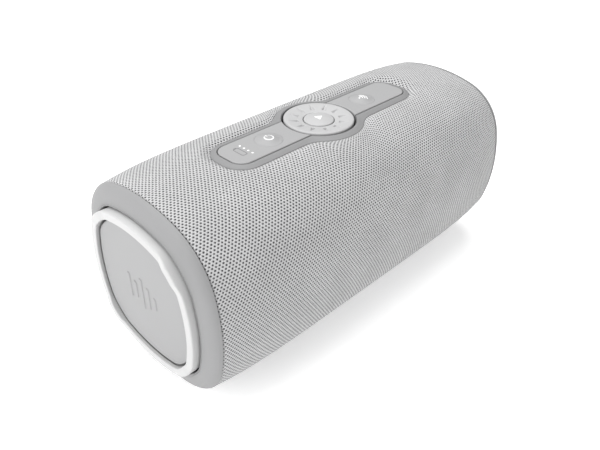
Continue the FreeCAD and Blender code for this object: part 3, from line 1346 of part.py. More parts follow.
def check_everything():
    """Stops the build if any object failed or any piece is empty or broken."""
    for thing in doc.Objects:
        if "Invalid" in thing.State or "Error" in thing.State:
            raise RuntimeError(f"{thing.Name} ({thing.Label}) failed: {thing.State}")
    for thing in nodes:
        if thing.Shape.isNull() or not thing.Shape.isValid() or not thing.Shape.Solids:
            raise RuntimeError(f"{thing.Label} has no valid solid")
        print(f"{thing.Label}: {len(thing.Shape.Solids)} solid(s), {thing.Shape.Volume:.1f} mm3")


def export_nodes():
    """Writes one STEP file for each piece."""
    os.makedirs("parts", exist_ok=True)
    for thing in nodes:
        thing.Shape.exportStep(f"parts/{thing.Label}.step")


build_sleeve_and_frame()
build_enclosure()
for end_side, end_word in ((-1, "left"), (1, "right")):
    build_end(end_side, end_word)
    build_driver(end_side, end_word)
build_driver_screws()
build_control_module()
build_port()
build_power()
doc.recompute()
check_everything()
export_nodes()
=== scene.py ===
import json

import bmesh
import bpy
import numpy as np
from mathutils import Matrix, Vector


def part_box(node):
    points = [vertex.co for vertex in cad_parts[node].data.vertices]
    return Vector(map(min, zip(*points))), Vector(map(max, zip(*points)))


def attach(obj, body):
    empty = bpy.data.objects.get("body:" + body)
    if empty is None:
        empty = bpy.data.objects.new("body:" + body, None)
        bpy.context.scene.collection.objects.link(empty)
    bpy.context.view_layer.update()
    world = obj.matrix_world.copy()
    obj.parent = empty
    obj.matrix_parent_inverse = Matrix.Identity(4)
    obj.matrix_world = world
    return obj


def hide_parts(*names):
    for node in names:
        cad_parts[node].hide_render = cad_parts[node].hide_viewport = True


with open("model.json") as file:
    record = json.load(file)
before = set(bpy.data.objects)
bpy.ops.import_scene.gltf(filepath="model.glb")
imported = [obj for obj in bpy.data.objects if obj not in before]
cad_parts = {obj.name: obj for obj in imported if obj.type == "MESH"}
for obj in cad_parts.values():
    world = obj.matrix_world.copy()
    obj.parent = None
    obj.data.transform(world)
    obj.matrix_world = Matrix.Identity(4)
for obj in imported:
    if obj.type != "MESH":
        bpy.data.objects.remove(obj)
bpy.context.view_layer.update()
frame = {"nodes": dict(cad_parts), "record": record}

bl_info = {
    "name": "Portable Speaker",
    "version": (1, 0, 0),
    "blender": (4, 5, 0),
    "location": "3D View > Sidebar > Speaker",
    "description": "Builds the visible pieces of a fabric-covered portable speaker",
    "category": "Object",
}

MM = 0.001
SIDES = ((-1, "left"), (1, "right"))


def span(node, axis):
    """Lowest and highest place of a CAD node along one axis."""
    low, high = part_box(node)
    return low[axis], high[axis]


def middle(node, axis):
    """Middle of a CAD node along one axis."""
    low, high = span(node, axis)
    return (low + high) / 2


def reach(node, axis):
    """Half of a CAD node's extent along one axis."""
    low, high = span(node, axis)
    return (high - low) / 2


AXIS_HEIGHT = middle("end_bumper_left", 2)
BUMPER_BACK, BUMPER_FACE = span("end_bumper_right", 0)
RING_BACK, PAD_FACE = span("foot_ring_right", 0)
FABRIC_EDGE = span("fabric_sleeve", 0)[1]
DIAL_BASE, DIAL_TOP = span("volume_dial", 2)
PANEL_LEVEL = span("control_panel", 2)[1]
PLAY_BASE = DIAL_BASE + 1.4 * MM
PLAY_TOP = span("play_button", 2)[1]
KEY_TOP = span("power_button", 2)[1]
FOOT_TOP = span("base_foot", 2)[1]
PORT_BACK, PORT_FACE = span("port_bezel", 1)


def length(name, value, note):
    """A length that a user may change, in metres."""
    return bpy.props.FloatProperty(name=name, description=note, default=value, unit="LENGTH",
                                   subtype="DISTANCE", precision=5)


def share(name, value, note):
    """A plain number between nought and one."""
    return bpy.props.FloatProperty(name=name, description=note, default=value, min=0.0, max=1.0,
                                   subtype="FACTOR")


def number(name, value, note):
    """A plain number."""
    return bpy.props.FloatProperty(name=name, description=note, default=value)


def colour(name, value, note):
    """A colour, given as one grey or as three parts."""
    parts = (value, value, value) if isinstance(value, float) else value
    return bpy.props.FloatVectorProperty(name=name, description=note, default=parts, size=3,
                                         min=0.0, max=1.0, subtype="COLOR")


class BodySizes(bpy.types.PropertyGroup):
    """Sizes of the rounded-square body and its fabric."""

    half_size: length("Half size", 46.0 * MM, "Half of the body's width and height")
    side_radius: length("Side radius", 83.0 * MM, "Radius of the section's four sides")
    corner_radius: length("Corner radius", 31.0 * MM, "Radius of the section's four corners")
    corner_ease: share("Corner ease", 0.025, "How far the corners are drawn in deep in the ends")
    end_drop: length("End drop", 2.65 * MM, "Loss of half size at the fabric's edge")
    taper_power: number("Taper power", 5.5, "How late the taper begins")
    hem_width: length("Hem width", 1.0 * MM, "Width of the rolled hem at each end")
    hem_depth: length("Hem depth", 0.9 * MM, "How far the hem turns in")
    cloth_thickness: length("Cloth thickness", 0.9 * MM, "Thickness of the knitted fabric")
    tuck_level: length("Tuck level", PANEL_LEVEL - 1.35 * MM, "Height where the fabric meets the bezel")
    tuck_width: length("Tuck width", 2.3 * MM, "Width over which the fabric rolls into a gap")
    tuck_depth: length("Tuck depth", 0.8 * MM, "Fall of the fabric at the foot and the port")
    pore_pitch: length("Pore pitch", 1.57 * MM, "Distance between pores along a row")
    row_pitch: length("Row pitch", 1.17 * MM, "Distance between rows of pores")
    warp_reach: length("Warp reach", 10.0 * MM, "How far the rows bend with the bezel")


class EndSizes(bpy.types.PropertyGroup):
    """Sizes of the bumpers, foot rings and radiator plates."""

    bumper_inner: length("Bumper inner inset", 10.85 * MM, "Inset of the bumper's inner wall")
    ring_outer: length("Ring outer inset", 11.65 * MM, "Inset of the ring's outer wall")
    ring_inner: length("Ring inner inset", 15.45 * MM, "Inset of the ring's inner edge")
    ring_face: length("Ring face", PAD_FACE - 0.7 * MM, "Distance of the ring's face from the middle")
    ring_rounding: length("Ring rounding", 0.6 * MM, "Rounding of the ring's outer edge")
    pad_half_length: length("Pad half length", 5.6 * MM, "Half length of a raised pad")
    pad_edge: length("Pad edge", 2.8 * MM, "Length over which a pad rises")
    pad_swell: length("Pad swell", 0.15 * MM, "How much wider the ring is at a pad")
    plate_inset: length("Plate inset", 16.3 * MM, "Inset of the radiator plate's edge")
    plate_recess: length("Plate recess", 1.5 * MM, "Plate's face behind the ring's face")
    plate_thickness: length("Plate thickness", 1.6 * MM, "Thickness of the radiator plate")
    bar_pitch: length("Bar pitch", 4.4 * MM, "Distance between the raised bars")
    bar_half_width: length("Bar half width", 1.1 * MM, "Half width of a raised bar")
    bar_reach: length("Bar reach", 8.0 * MM, "Half height of the tallest bar")
    bar_height: length("Bar height", 0.4 * MM, "How far the bars stand out")


class ModuleSizes(bpy.types.PropertyGroup):
    """Sizes of the control module on top."""

    half_length: length("Bezel half length", 58.3 * MM, "Half length of the bezel")
    half_width: length("Bezel half width", 12.8 * MM, "Half width of the bezel's arms")
    corner: length("Bezel corner", 11.0 * MM, "Corner radius of the bezel")
    bulge: length("Bezel bulge", 20.7 * MM, "Radius of the bezel around the dial")
    blend: length("Bezel blend", 14.0 * MM, "Radius that joins the bulge and the arms")
    land_length: length("Panel half length", 54.45 * MM, "Half length of the panel")
    land_width: length("Panel half width", 9.1 * MM, "Half width of the panel")
    land_corner: length("Panel corner", 5.85 * MM, "Corner radius of the panel")
    land_gap: length("Panel gap", 0.2 * MM, "Gap between the panel and the bezel")
    well: length("Well radius", 17.1 * MM, "Radius of the dial's well")
    dish_depth: length("Dish depth", 1.0 * MM, "How far the dial falls towards its opening")
    groove_start: length("Groove start", 9.8 * MM, "Distance of a groove's deep end from the dial's axis")
    groove_length: length("Groove length", 4.4 * MM, "Length of a groove on the dial")
    groove_width: length("Groove half width", 0.85 * MM, "Half width of a groove at its deep end")
    groove_depth: length("Groove depth", 0.95 * MM, "Depth of a groove at its deep end")
    play_drop: length("Play drop", 0.1 * MM, "Play button below its highest possible level")
    edge_rise: length("Bezel rise", 1.0 * MM, "Rise of the bezel from its outer edge inwards")
    lip_drop: length("Bezel lip drop", 0.3 * MM, "Bezel's inner edge below the panel")
    dial_radius: length("Dial radius", reach("volume_dial", 0), "Radius of the volume dial")
    dial_bore: length("Dial bore", 7.3 * MM, "Radius of the dial's opening")
    play_radius: length("Play radius", reach("play_button", 0), "Radius of the play button")
    key_radius: length("Key radius", reach("power_button", 0), "Radius of the power and pairing keys")
    key_gap: length("Key gap", 0.06 * MM, "Gap around the keys")
    power_x: length("Power key place", middle("power_button", 0), "Place of the power key")
    pair_x: length("Pairing key place", middle("pairing_button", 0), "Place of the pairing key")
    lights_x: length("Lights place", -43.6 * MM, "Place of the battery lights")
    light_pitch: length("Light pitch", 2.7 * MM, "Distance between the battery lights")
    light_radius: length("Light radius", 0.5 * MM, "Radius of a battery light")
    print_height: length("Print height", 0.03 * MM, "How far printed marks stand out")


class PortSizes(bpy.types.PropertyGroup):
    """Sizes of the covered port and of the base foot."""

    half_length: length("Port half length", reach("port_bezel", 0), "Half length of the port's bezel")
    half_height: length("Port half height", reach("port_bezel", 2), "Half height of the port's bezel")
    corner: length("Port corner", 4.0 * MM, "Corner radius of the port's bezel")
    pocket_length: length("Pocket half length", 17.0 * MM, "Half length of the pocket")
    pocket_height: length("Pocket half height", 5.2 * MM, "Half height of the pocket")
    pocket_depth: length("Pocket depth", 2.8 * MM, "Depth of the pocket")
    foot_length: length("Foot half length", reach("base_foot", 0), "Half length of the base foot")
    foot_width: length("Foot half width", reach("base_foot", 1), "Half width of the base foot")
    foot_corner: length("Foot corner", 8.0 * MM, "Corner radius of the base foot")
    rib_pitch: length("Rib pitch", 3.4 * MM, "Distance between the foot's ribs")
    rib_depth: length("Rib depth", 0.45 * MM, "Depth of the grooves between the ribs")


class Colours(bpy.types.PropertyGroup):
    """Colours of the finishes, in scene-linear values."""

    thread: colour("Thread", (0.52, 0.52, 0.525), "Raised threads of the fabric")
    pore: colour("Pore", (0.055, 0.055, 0.057), "Pores between the threads")
    bumper: colour("Bumper", (0.285, 0.285, 0.288), "Soft end bumpers")
    ring: colour("Ring", (0.53, 0.53, 0.53), "Foot rings")
    plate: colour("Plate", (0.325, 0.325, 0.328), "Radiator plates")
    panel: colour("Panel", (0.335, 0.335, 0.338), "Control panel and its keys")
    bezel: colour("Bezel", (0.235, 0.235, 0.238), "Bezel round the panel")
    dial: colour("Dial", (0.44, 0.44, 0.443), "Volume dial and play button")
    mark: colour("White mark", (0.93, 0.93, 0.93), "White printed marks")
    dark_mark: colour("Grey mark", (0.16, 0.16, 0.163), "Dark printed battery outline")
    rubber: colour("Foot rubber", (0.27, 0.27, 0.273), "Base foot and port cover")


class StageSettings(bpy.types.PropertyGroup):
    """Camera, lights and floor."""

    eye: bpy.props.FloatVectorProperty(name="Camera place", description="Where the camera stands", size=3,
                                       default=(-0.19023, -0.17589, 0.21521), unit="LENGTH",
                                       subtype="TRANSLATION", precision=5)
    heading: bpy.props.FloatProperty(name="Heading", description="Turn of the camera about the vertical",
                                     default=np.radians(-45.55), unit="ROTATION", subtype="ANGLE")
    tilt: bpy.props.FloatProperty(name="Tilt", description="How far the camera looks down",
                                  default=np.radians(35.34), unit="ROTATION", subtype="ANGLE")
    roll: bpy.props.FloatProperty(name="Roll", description="Turn of the camera about its line of sight",
                                  default=np.radians(1.03), unit="ROTATION", subtype="ANGLE")
    lens: number("Lens", 37.27, "Focal length in millimetres on a 36 mm wide sensor")
    floor_colour: colour("Floor", (0.93, 0.93, 0.93), "Colour of the floor")
    floor_glow: number("Floor glow", 0.35, "Light that the white floor gives off by itself")
    sky: number("Sky", 0.5, "Strength of the even light from all round")


# ---------------------------------------------------------------- shapes

def section_layout(body):
    """How far a side arc's centre lies beyond the middle, the difference of the two radii, and where a
    corner arc's centre is along each axis."""
    centre_back = body.side_radius - body.half_size
    arc_gap = body.side_radius - body.corner_radius
    corner = (np.sqrt(2 * arc_gap ** 2 - centre_back ** 2) - centre_back) / 2
    return centre_back, arc_gap, corner


def section(turn, inset, body):
    """Point of the rounded-square section whose outward normal points at the angle turn.

    Within a small swing of each axis the point is on a side arc, whose centre lies beyond the middle.
    Elsewhere it is on a corner arc. The inset shortens both radii, so every inset shares the centres.
    Deep in the ends the outline turns rounder: the corners are drawn in a little towards the axis.
    Returns the distances from the body's axis along Y and Z."""
    centre_back, arc_gap, corner = section_layout(body)
    swing = np.arcsin(corner / arc_gap)
    quarter = np.round(turn / (np.pi / 2))
    local = turn - quarter * (np.pi / 2)
    on_side = np.abs(local) <= swing
    radius = np.where(on_side, body.side_radius, body.corner_radius) - inset
    ahead = np.where(on_side, 0 - centre_back, corner) + radius * np.cos(local)
    beside = np.where(on_side, 0.0, np.sign(local) * corner) + radius * np.sin(local)
    angle = quarter * (np.pi / 2)
    deep = smooth_step(inset, 5.0 * MM, 9.5 * MM)
    ease = 1 - body.corner_ease * deep * np.sin(2 * turn) ** 2
    ahead, beside = ahead * ease, beside * ease
    return ahead * np.cos(angle) - beside * np.sin(angle), ahead * np.sin(angle) + beside * np.cos(angle)


def section_measure(body):
    """Angles of the section's arc ends and the distance run to each, from the top all the way round."""
    arc_gap, corner = section_layout(body)[1:]
    swing = np.arcsin(corner / arc_gap)
    half_side = swing
    whole_corner = np.pi / 2 - 2 * swing
    steps = np.tile([half_side, whole_corner, half_side], 4)
    radii = np.tile([body.side_radius, body.corner_radius, body.side_radius], 4)
    angles = np.concatenate([[0.0], np.cumsum(steps)]) + np.pi / 2
    runs = np.concatenate([[0.0], np.cumsum(steps * radii)])
    return angles, runs


def even_turns(body, count):
    """Normal angles at equal distances round the section, from the top, without the closing one."""
    angles, runs = section_measure(body)
    return np.interp(np.linspace(0.0, runs[-1], count, endpoint=False), runs, angles)


def roof(across, inset, body):
    """Height of the section above its axis at a distance across, on the side arc or the corner arc."""
    centre_back, arc_gap, corner = section_layout(body)
    out = np.abs(across)
    side = np.sqrt(np.maximum((body.side_radius - inset) ** 2 - out ** 2, 0)) - centre_back
    bend = corner + np.sqrt(np.maximum((body.corner_radius - inset) ** 2 - (out - corner) ** 2, 0))
    edge = (body.side_radius - inset) * corner / arc_gap
    return np.where(out < edge, side, bend)


def smooth_step(value, low, high):
    """Rises from nought at low to one at high along a cubic with level ends."""
    t = np.clip((value - low) / (high - low), 0.0, 1.0)
    return t * t * (3 - 2 * t)


def rounded_path(corners, radii, steps=6):
    """A polyline through the corners, with an arc of its own radius at each inner corner.

    Each arc runs between the points where a circle touches both runs. A support point follows a
    little way along each run, so that smooth shading stays flat beside the arc."""
    corners = np.array(corners, float)
    path = [corners[:1]]
    for before, here, after, radius in zip(corners[:-2], corners[1:-1], corners[2:], radii):
        back = (before - here) / np.linalg.norm(before - here)
        ahead = (after - here) / np.linalg.norm(after - here)
        half = np.arccos(np.clip(np.dot(back, ahead), -1, 1)) / 2
        cut = radius / np.tan(half)
        centre = here + (back + ahead) / np.linalg.norm(back + ahead) * (radius / np.sin(half))
        first, last = here + back * cut - centre, here + ahead * cut - centre
        whole = np.pi - 2 * half
        t = np.linspace(0, 1, steps + 1)[:, None]
        arc = centre + (np.sin((1 - t) * whole) * first + np.sin(t * whole) * last) / np.sin(whole)
        support = min(0.3 * radius, 0.2 * np.linalg.norm(before - here), 0.2 * np.linalg.norm(after - here))
        path += [here + back * (cut + support), arc, here + ahead * (cut + support)]
    path.append(corners[-1:])
    return np.vstack(path)


def rectangle_loop(half_long, half_wide, corner, per_corner=10, per_side=6):
    """A rounded rectangle as a closed loop of points, anticlockwise, without the closing one.

    Each corner is a quarter circle, and each side has evenly spread points between two corners."""
    t = np.linspace(0, np.pi / 2, per_corner)
    loop = []
    for step, (along, up) in enumerate(((1, 1), (-1, 1), (-1, -1), (1, -1))):
        centre = np.array([along * (half_long - corner), up * (half_wide - corner)])
        angle = t + step * np.pi / 2
        loop.append(centre + corner * np.stack([np.cos(angle), np.sin(angle)], 1))
    filled = []
    for here, following in zip(loop, loop[1:] + loop[:1]):
        between = np.linspace(0, 1, per_side + 2)[1:-1, None]
        filled += [here, here[-1] + (following[0] - here[-1]) * between]
    return np.vstack(filled)


def module_loop(half_length, half_width, corner, bulge, blend):
    """The control module's outline as a closed loop of points, anticlockwise.

    A quarter runs up the end, round a corner arc, along the arm, through a hollow blend arc and round
    the bulge to the middle. The other quarters are its mirror images."""
    if blend > 0:
        blend_x = np.sqrt((bulge + blend) ** 2 - (half_width + blend) ** 2)
    else:
        blend_x = np.sqrt(bulge ** 2 - half_width ** 2)
    lean = np.arctan2(half_width + blend, blend_x)
    end = np.linspace([half_length, 0], [half_length, half_width - corner], 6, endpoint=False)
    t = np.linspace(0, np.pi / 2, 16, endpoint=False)
    turn = np.stack([half_length - corner + corner * np.cos(t), half_width - corner + corner * np.sin(t)], 1)
    arm = np.linspace([half_length - corner, half_width], [blend_x, half_width], 16, endpoint=False)
    t = np.linspace(-np.pi / 2, lean - np.pi, 12, endpoint=False)
    hollow = np.stack([blend_x + blend * np.cos(t), half_width + blend + blend * np.sin(t)], 1)
    t = np.linspace(lean, np.pi / 2, 24)
    crown = bulge * np.stack([np.cos(t), np.sin(t)], 1)
    quarter = np.vstack([end, turn, arm, hollow, crown])
    upper = np.vstack([quarter, (quarter * (-1, 1))[-2::-1]])
    return np.vstack([upper, (upper * (-1, -1))[1:-1]])


def module_distance(x, y, sizes):
    """Signed distance from the control module's outline, negative inside.

    It is the nearer of a rounded rectangle and a circle, except in the sector of the blend's centre
    between its two tangent points, where it is measured from the blend's arc."""
    along, across = np.abs(x), np.abs(y)
    box = rectangle_distance(along, across, sizes.half_length, sizes.half_width, sizes.corner)
    round_part = np.hypot(along, across) - sizes.bulge
    blend_y = sizes.half_width + sizes.blend
    blend_x = np.sqrt((sizes.bulge + sizes.blend) ** 2 - blend_y ** 2)
    from_x, from_y = along - blend_x, across - blend_y
    in_sector = (from_x <= 0) & (from_x * blend_y - from_y * blend_x >= 0)
    hollow = sizes.blend - np.hypot(from_x, from_y)
    return np.where(in_sector, hollow, np.minimum(box, round_part))


def rectangle_distance(x, y, half_long, half_wide, corner):
    """Signed distance from a rounded rectangle, negative inside."""
    out_x = np.abs(x) - half_long + corner
    out_y = np.abs(y) - half_wide + corner
    outside = np.hypot(np.maximum(out_x, 0), np.maximum(out_y, 0))
    return outside + np.minimum(np.maximum(out_x, out_y), 0) - corner


def pull_to_outline(x, y, distance, chosen):
    """Moves the chosen points along the distance's slope onto its zero line, in three steps."""
    nudge = 0.01 * MM
    for _ in range(3):
        here = distance(x, y)
        slope_x = (distance(x + nudge, y) - distance(x - nudge, y)) / (2 * nudge)
        slope_y = (distance(x, y + nudge) - distance(x, y - nudge)) / (2 * nudge)
        scale = np.where(chosen, here / np.maximum(slope_x ** 2 + slope_y ** 2, 0.25), 0.0)
        x = x - slope_x * scale
        y = y - slope_y * scale
    return x, y


def beside_kept(kept):
    """Points of a grid that are not kept but have a kept neighbour, corners included."""
    near = np.zeros_like(kept)
    padded = np.pad(kept, 1)
    rows, columns = kept.shape
    for down in range(3):
        for right in range(3):
            near |= padded[down:down + rows, right:right + columns]
    return near & ~kept


def finer(path, step):
    """A path with points added wherever two neighbours are further apart than the step."""
    along = np.r_[0.0, np.cumsum(np.linalg.norm(np.diff(path, axis=0), axis=1))]
    places = np.union1d(along, np.arange(0.0, along[-1], step))
    places = places[np.r_[True, np.diff(places) > 0.02 * MM]]
    return np.stack([np.interp(places, along, path[:, 0]), np.interp(places, along, path[:, 1])], 1)


def fit_opening(u, v, distance, facing):
    """Pulls the cloth beside an opening onto the opening's outline, on the side that faces it.

    Returns both coordinates, the distance to the outline, the points that stay and the points moved."""
    gap = np.where(facing, distance(u, v), 1.0)
    inside = gap < 0
    edge = beside_kept(~inside) & facing
    new_u, new_v = pull_to_outline(u, v, distance, edge)
    return np.where(edge, new_u, u), np.where(edge, new_v, v), np.where(edge, 0.0, gap), ~inside | edge, edge


def grid_quads(rows, columns, wrap_rows=False, wrap_columns=False):
    """Corner numbers of a grid's quads, as rows of four, with either direction closed on itself."""
    i = np.arange(rows if wrap_rows else rows - 1)[:, None]
    j = np.arange(columns if wrap_columns else columns - 1)[None, :]
    below, beside = (i + 1) % rows, (j + 1) % columns
    corners = (i * columns + j, below * columns + j, below * columns + beside, i * columns + beside)
    return np.stack(np.broadcast_arrays(*corners), axis=-1).reshape(-1, 4)


def skirted(points, axis, level):
    """A grid of points with one more row on every side, moved to a level along one axis."""
    skirt = np.pad(points, ((1, 1), (1, 1), (0, 0)), mode="edge")
    border = np.ones(skirt.shape[:2], bool)
    border[1:-1, 1:-1] = False
    skirt[border, axis] = level
    return skirt


def round_angles(count):
    """Even angles once round a circle, without the closing one."""
    return np.linspace(0, 2 * np.pi, count, endpoint=False)


def stack(x, y, z):
    """Three arrays that broadcast together, as one array of points."""
    return np.stack(np.broadcast_arrays(x, y, z), axis=-1)


def eased(count):
    """Numbers from nought to one, closer together at both ends, along a cosine."""
    return 0.5 - 0.5 * np.cos(np.linspace(0, np.pi, count))


def graded(stops, steps):
    """Evenly spread numbers between stops, with about the given step in each stretch."""
    parts = [np.linspace(a, b, max(2, int(round((b - a) / step))) + 1)[:-1]
             for a, b, step in zip(stops[:-1], stops[1:], steps)]
    return np.concatenate(parts + [[stops[-1]]])


# ---------------------------------------------------------------- pieces

def add_piece(name, points, quads, material, body, nodes, inside=None, uv=None):
    """Puts points and quads into a new object, closes its poles and turns its faces outwards.

    The faces are turned so that, weighed by area, they look away from the point inside."""
    points = points.reshape(-1, 3)
    mesh = bpy.data.meshes.new(name)
    mesh.from_pydata(points.tolist(), [], quads.tolist())
    if uv is not None:
        layer = mesh.uv_layers.new(name="knit")
        loops = np.empty(len(mesh.loops), np.int32)
        mesh.loops.foreach_get("vertex_index", loops)
        layer.data.foreach_set("uv", uv.reshape(-1, 2)[loops].ravel())
    work = bmesh.new()
    work.from_mesh(mesh)
    loose = [vertex for vertex in work.verts if not vertex.link_faces]
    bmesh.ops.delete(work, geom=loose, context="VERTS")
    bmesh.ops.remove_doubles(work, verts=work.verts, dist=0.001 * MM)
    bmesh.ops.dissolve_degenerate(work, edges=work.edges, dist=0.0005 * MM)
    work.to_mesh(mesh)
    work.free()
    centres = np.empty(len(mesh.polygons) * 3)
    normals = np.empty(len(mesh.polygons) * 3)
    areas = np.empty(len(mesh.polygons))
    mesh.polygons.foreach_get("center", centres)
    mesh.polygons.foreach_get("normal", normals)
    mesh.polygons.foreach_get("area", areas)
    heart = points.mean(0) if inside is None else np.array(inside)
    facing = ((centres.reshape(-1, 3) - heart) * normals.reshape(-1, 3)).sum(1)
    if (facing * areas).sum() < 0:
        mesh.flip_normals()
    mesh.shade_smooth()
    mesh.materials.append(material)
    piece = bpy.data.objects.new(name, mesh)
    bpy.context.scene.collection.objects.link(piece)
    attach(piece, body)
    if nodes:
        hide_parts(*nodes)
    return piece


def add_sweep(name, loops, material, body, nodes, inside=None, closed=False):
    """A surface through a row of closed loops of equal length; closed joins the last to the first."""
    rows, columns = loops.shape[:2]
    quads = grid_quads(rows, columns, wrap_rows=closed, wrap_columns=True)
    return add_piece(name, loops, quads, material, body, nodes, inside)


def section_sweep(stations, insets, turns, body, side):
    """Loops round the body's section: one for each pair of station and inset."""
    y, z = section(turns, insets, body)
    return stack(side * stations, y, AXIS_HEIGHT + z)


def turned_loops(profile, count, along=0.0):
    """Loops of a profile of radius and height carried round the vertical through the point along X."""
    angle = round_angles(count)
    radius, height = profile[:, :1], profile[:, 1:]
    return stack(along + radius * np.cos(angle), radius * np.sin(angle), height)


# ---------------------------------------------------------------- finishes

def link_nodes(tree, *pairs):
    """Joins outputs to inputs in a node tree."""
    for source, target in pairs:
        tree.links.new(source, target)


def math_node(tree, kind, first, second=None):
    """A math node's output; each operand is a socket or a number."""
    node = tree.nodes.new("ShaderNodeMath")
    node.operation = kind
    for index, operand in enumerate((first, second)):
        if isinstance(operand, bpy.types.NodeSocket):
            tree.links.new(operand, node.inputs[index])
        elif operand is not None:
            node.inputs[index].default_value = operand
    return node.outputs[0]


def vector_node(tree, kind, first, second=None):
    """A vector math node; each operand is a socket or three numbers."""
    node = tree.nodes.new("ShaderNodeVectorMath")
    node.operation = kind
    for index, operand in enumerate((first, second)):
        if isinstance(operand, bpy.types.NodeSocket):
            tree.links.new(operand, node.inputs[index])
        elif operand is not None:
            node.inputs[index].default_value = operand
    return node


def remap(tree, value, low, high, to_low, to_high):
    """A value carried from one range to another along a smooth step."""
    node = tree.nodes.new("ShaderNodeMapRange")
    node.interpolation_type = "SMOOTHSTEP"
    for name, amount in (("From Min", low), ("From Max", high), ("To Min", to_low), ("To Max", to_high)):
        node.inputs[name].default_value = amount
    tree.links.new(value, node.inputs["Value"])
    return node.outputs["Result"]


def noise(tree, vector, scale, detail):
    """Output of a noise texture with the given scale per metre and detail."""
    node = tree.nodes.new("ShaderNodeTexNoise")
    node.inputs["Scale"].default_value = scale
    node.inputs["Detail"].default_value = detail
    tree.links.new(vector, node.inputs["Vector"])
    return node.outputs["Fac"]


def new_group(name, inputs, outputs):
    """An empty shader node group with its named sockets, and its two end nodes."""
    tree = bpy.data.node_groups.new(name, "ShaderNodeTree")
    for label, kind, value in inputs:
        socket = tree.interface.new_socket(name=label, in_out="INPUT", socket_type=kind)
        if value is not None:
            socket.default_value = value
    for label, kind in outputs:
        tree.interface.new_socket(name=label, in_out="OUTPUT", socket_type=kind)
    return tree, tree.nodes.new("NodeGroupInput"), tree.nodes.new("NodeGroupOutput")


def surface_group():
    """Moulded surface: slow drift of tone, a fine speckle, uneven gloss and fine grain.

    The colour is the tone times one plus twice the drift times the sum of the slow noise and about a
    third of the fine noise, both about nought. Roughness sways with both noises. Height is the fine one."""
    tree, start, end = new_group(
        "moulded_surface",
        [("Vector", "NodeSocketVector", None), ("Tone", "NodeSocketColor", (0.5, 0.5, 0.5, 1.0)),
         ("Drift", "NodeSocketFloat", 0.06), ("Grain", "NodeSocketFloat", 2600.0),
         ("Roughness", "NodeSocketFloat", 0.5), ("Spread", "NodeSocketFloat", 0.1)],
        [("Color", "NodeSocketColor"), ("Roughness", "NodeSocketFloat"), ("Height", "NodeSocketFloat")])
    place = start.outputs["Vector"]
    slow = math_node(tree, "SUBTRACT", noise(tree, place, 38.0, 3.0), 0.5)
    fine_node = tree.nodes.new("ShaderNodeTexNoise")
    fine_node.inputs["Detail"].default_value = 2.0
    link_nodes(tree, (place, fine_node.inputs["Vector"]), (start.outputs["Grain"], fine_node.inputs["Scale"]))
    fine = fine_node.outputs["Fac"]
    speckle = math_node(tree, "MULTIPLY", math_node(tree, "SUBTRACT", fine, 0.5), 0.35)
    sway = math_node(tree, "MULTIPLY", math_node(tree, "ADD", slow, speckle), start.outputs["Drift"])
    gain = math_node(tree, "ADD", math_node(tree, "MULTIPLY", sway, 2.0), 1.0)
    toned = vector_node(tree, "SCALE", start.outputs["Tone"])
    link_nodes(tree, (gain, toned.inputs["Scale"]), (toned.outputs["Vector"], end.inputs["Color"]))
    rough_sway = math_node(tree, "MULTIPLY", slow, start.outputs["Spread"])
    rough_fine = math_node(tree, "MULTIPLY", math_node(tree, "SUBTRACT", fine, 0.5), start.outputs["Spread"])
    rough = math_node(tree, "ADD", math_node(tree, "ADD", start.outputs["Roughness"], rough_sway), rough_fine)
    link_nodes(tree, (rough, end.inputs["Roughness"]), (fine, end.inputs["Height"]))
    return tree


def weave_group():
    """Knitted fabric: two shifted lattices of oval pores on a map where rows and pores are one apart.

    For each lattice the distance to the nearest pore is the length of the folded fractional part,
    divided by the pore's half width and half height. The nearer one gives mask and relief."""
    tree, start, end = new_group(
        "knit_weave",
        [("Vector", "NodeSocketVector", None), ("Half Width", "NodeSocketFloat", 0.24),
         ("Half Height", "NodeSocketFloat", 0.30)],
        [("Pore", "NodeSocketFloat"), ("Relief", "NodeSocketFloat"), ("Strand", "NodeSocketFloat")])
    wobble = tree.nodes.new("ShaderNodeTexNoise")
    wobble.inputs["Scale"].default_value = 0.9
    wobble.inputs["Detail"].default_value = 1.0
    link_nodes(tree, (start.outputs["Vector"], wobble.inputs["Vector"]))
    shake = vector_node(tree, "MULTIPLY", vector_node(tree, "SUBTRACT", wobble.outputs["Color"],
                                                     (0.5, 0.5, 0.5)).outputs[0], (0.22, 0.22, 0.0))
    place = vector_node(tree, "ADD", start.outputs["Vector"], shake.outputs[0]).outputs[0]
    halved = vector_node(tree, "MULTIPLY", place, (1.0, 0.5, 0.0)).outputs[0]
    radii = tree.nodes.new("ShaderNodeCombineXYZ")
    link_nodes(tree, (start.outputs["Half Width"], radii.inputs["X"]),
               (start.outputs["Half Height"], radii.inputs["Y"]))
    radii.inputs["Z"].default_value = 1.0
    nearest = []
    for shift in ((0.5, 0.5, 0.0), (1.0, 1.0, 0.0)):
        folded = vector_node(tree, "FRACTION", vector_node(tree, "ADD", halved, shift).outputs[0]).outputs[0]
        centred = vector_node(tree, "SUBTRACT", folded, (0.5, 0.5, 0.0)).outputs[0]
        full = vector_node(tree, "MULTIPLY", centred, (1.0, 2.0, 0.0)).outputs[0]
        scaled = vector_node(tree, "DIVIDE", full, radii.outputs[0]).outputs[0]
        nearest.append(vector_node(tree, "LENGTH", scaled).outputs["Value"])
    away = math_node(tree, "MINIMUM", nearest[0], nearest[1])
    link_nodes(tree, (remap(tree, away, 0.72, 1.22, 1.0, 0.0), end.inputs["Pore"]),
               (remap(tree, away, 0.2, 2.2, 0.0, 1.0), end.inputs["Relief"]))
    fibres = vector_node(tree, "MULTIPLY", place, (9.0, 2.2, 0.0)).outputs[0]
    link_nodes(tree, (noise(tree, fibres, 1.0, 2.0), end.inputs["Strand"]))
    return tree


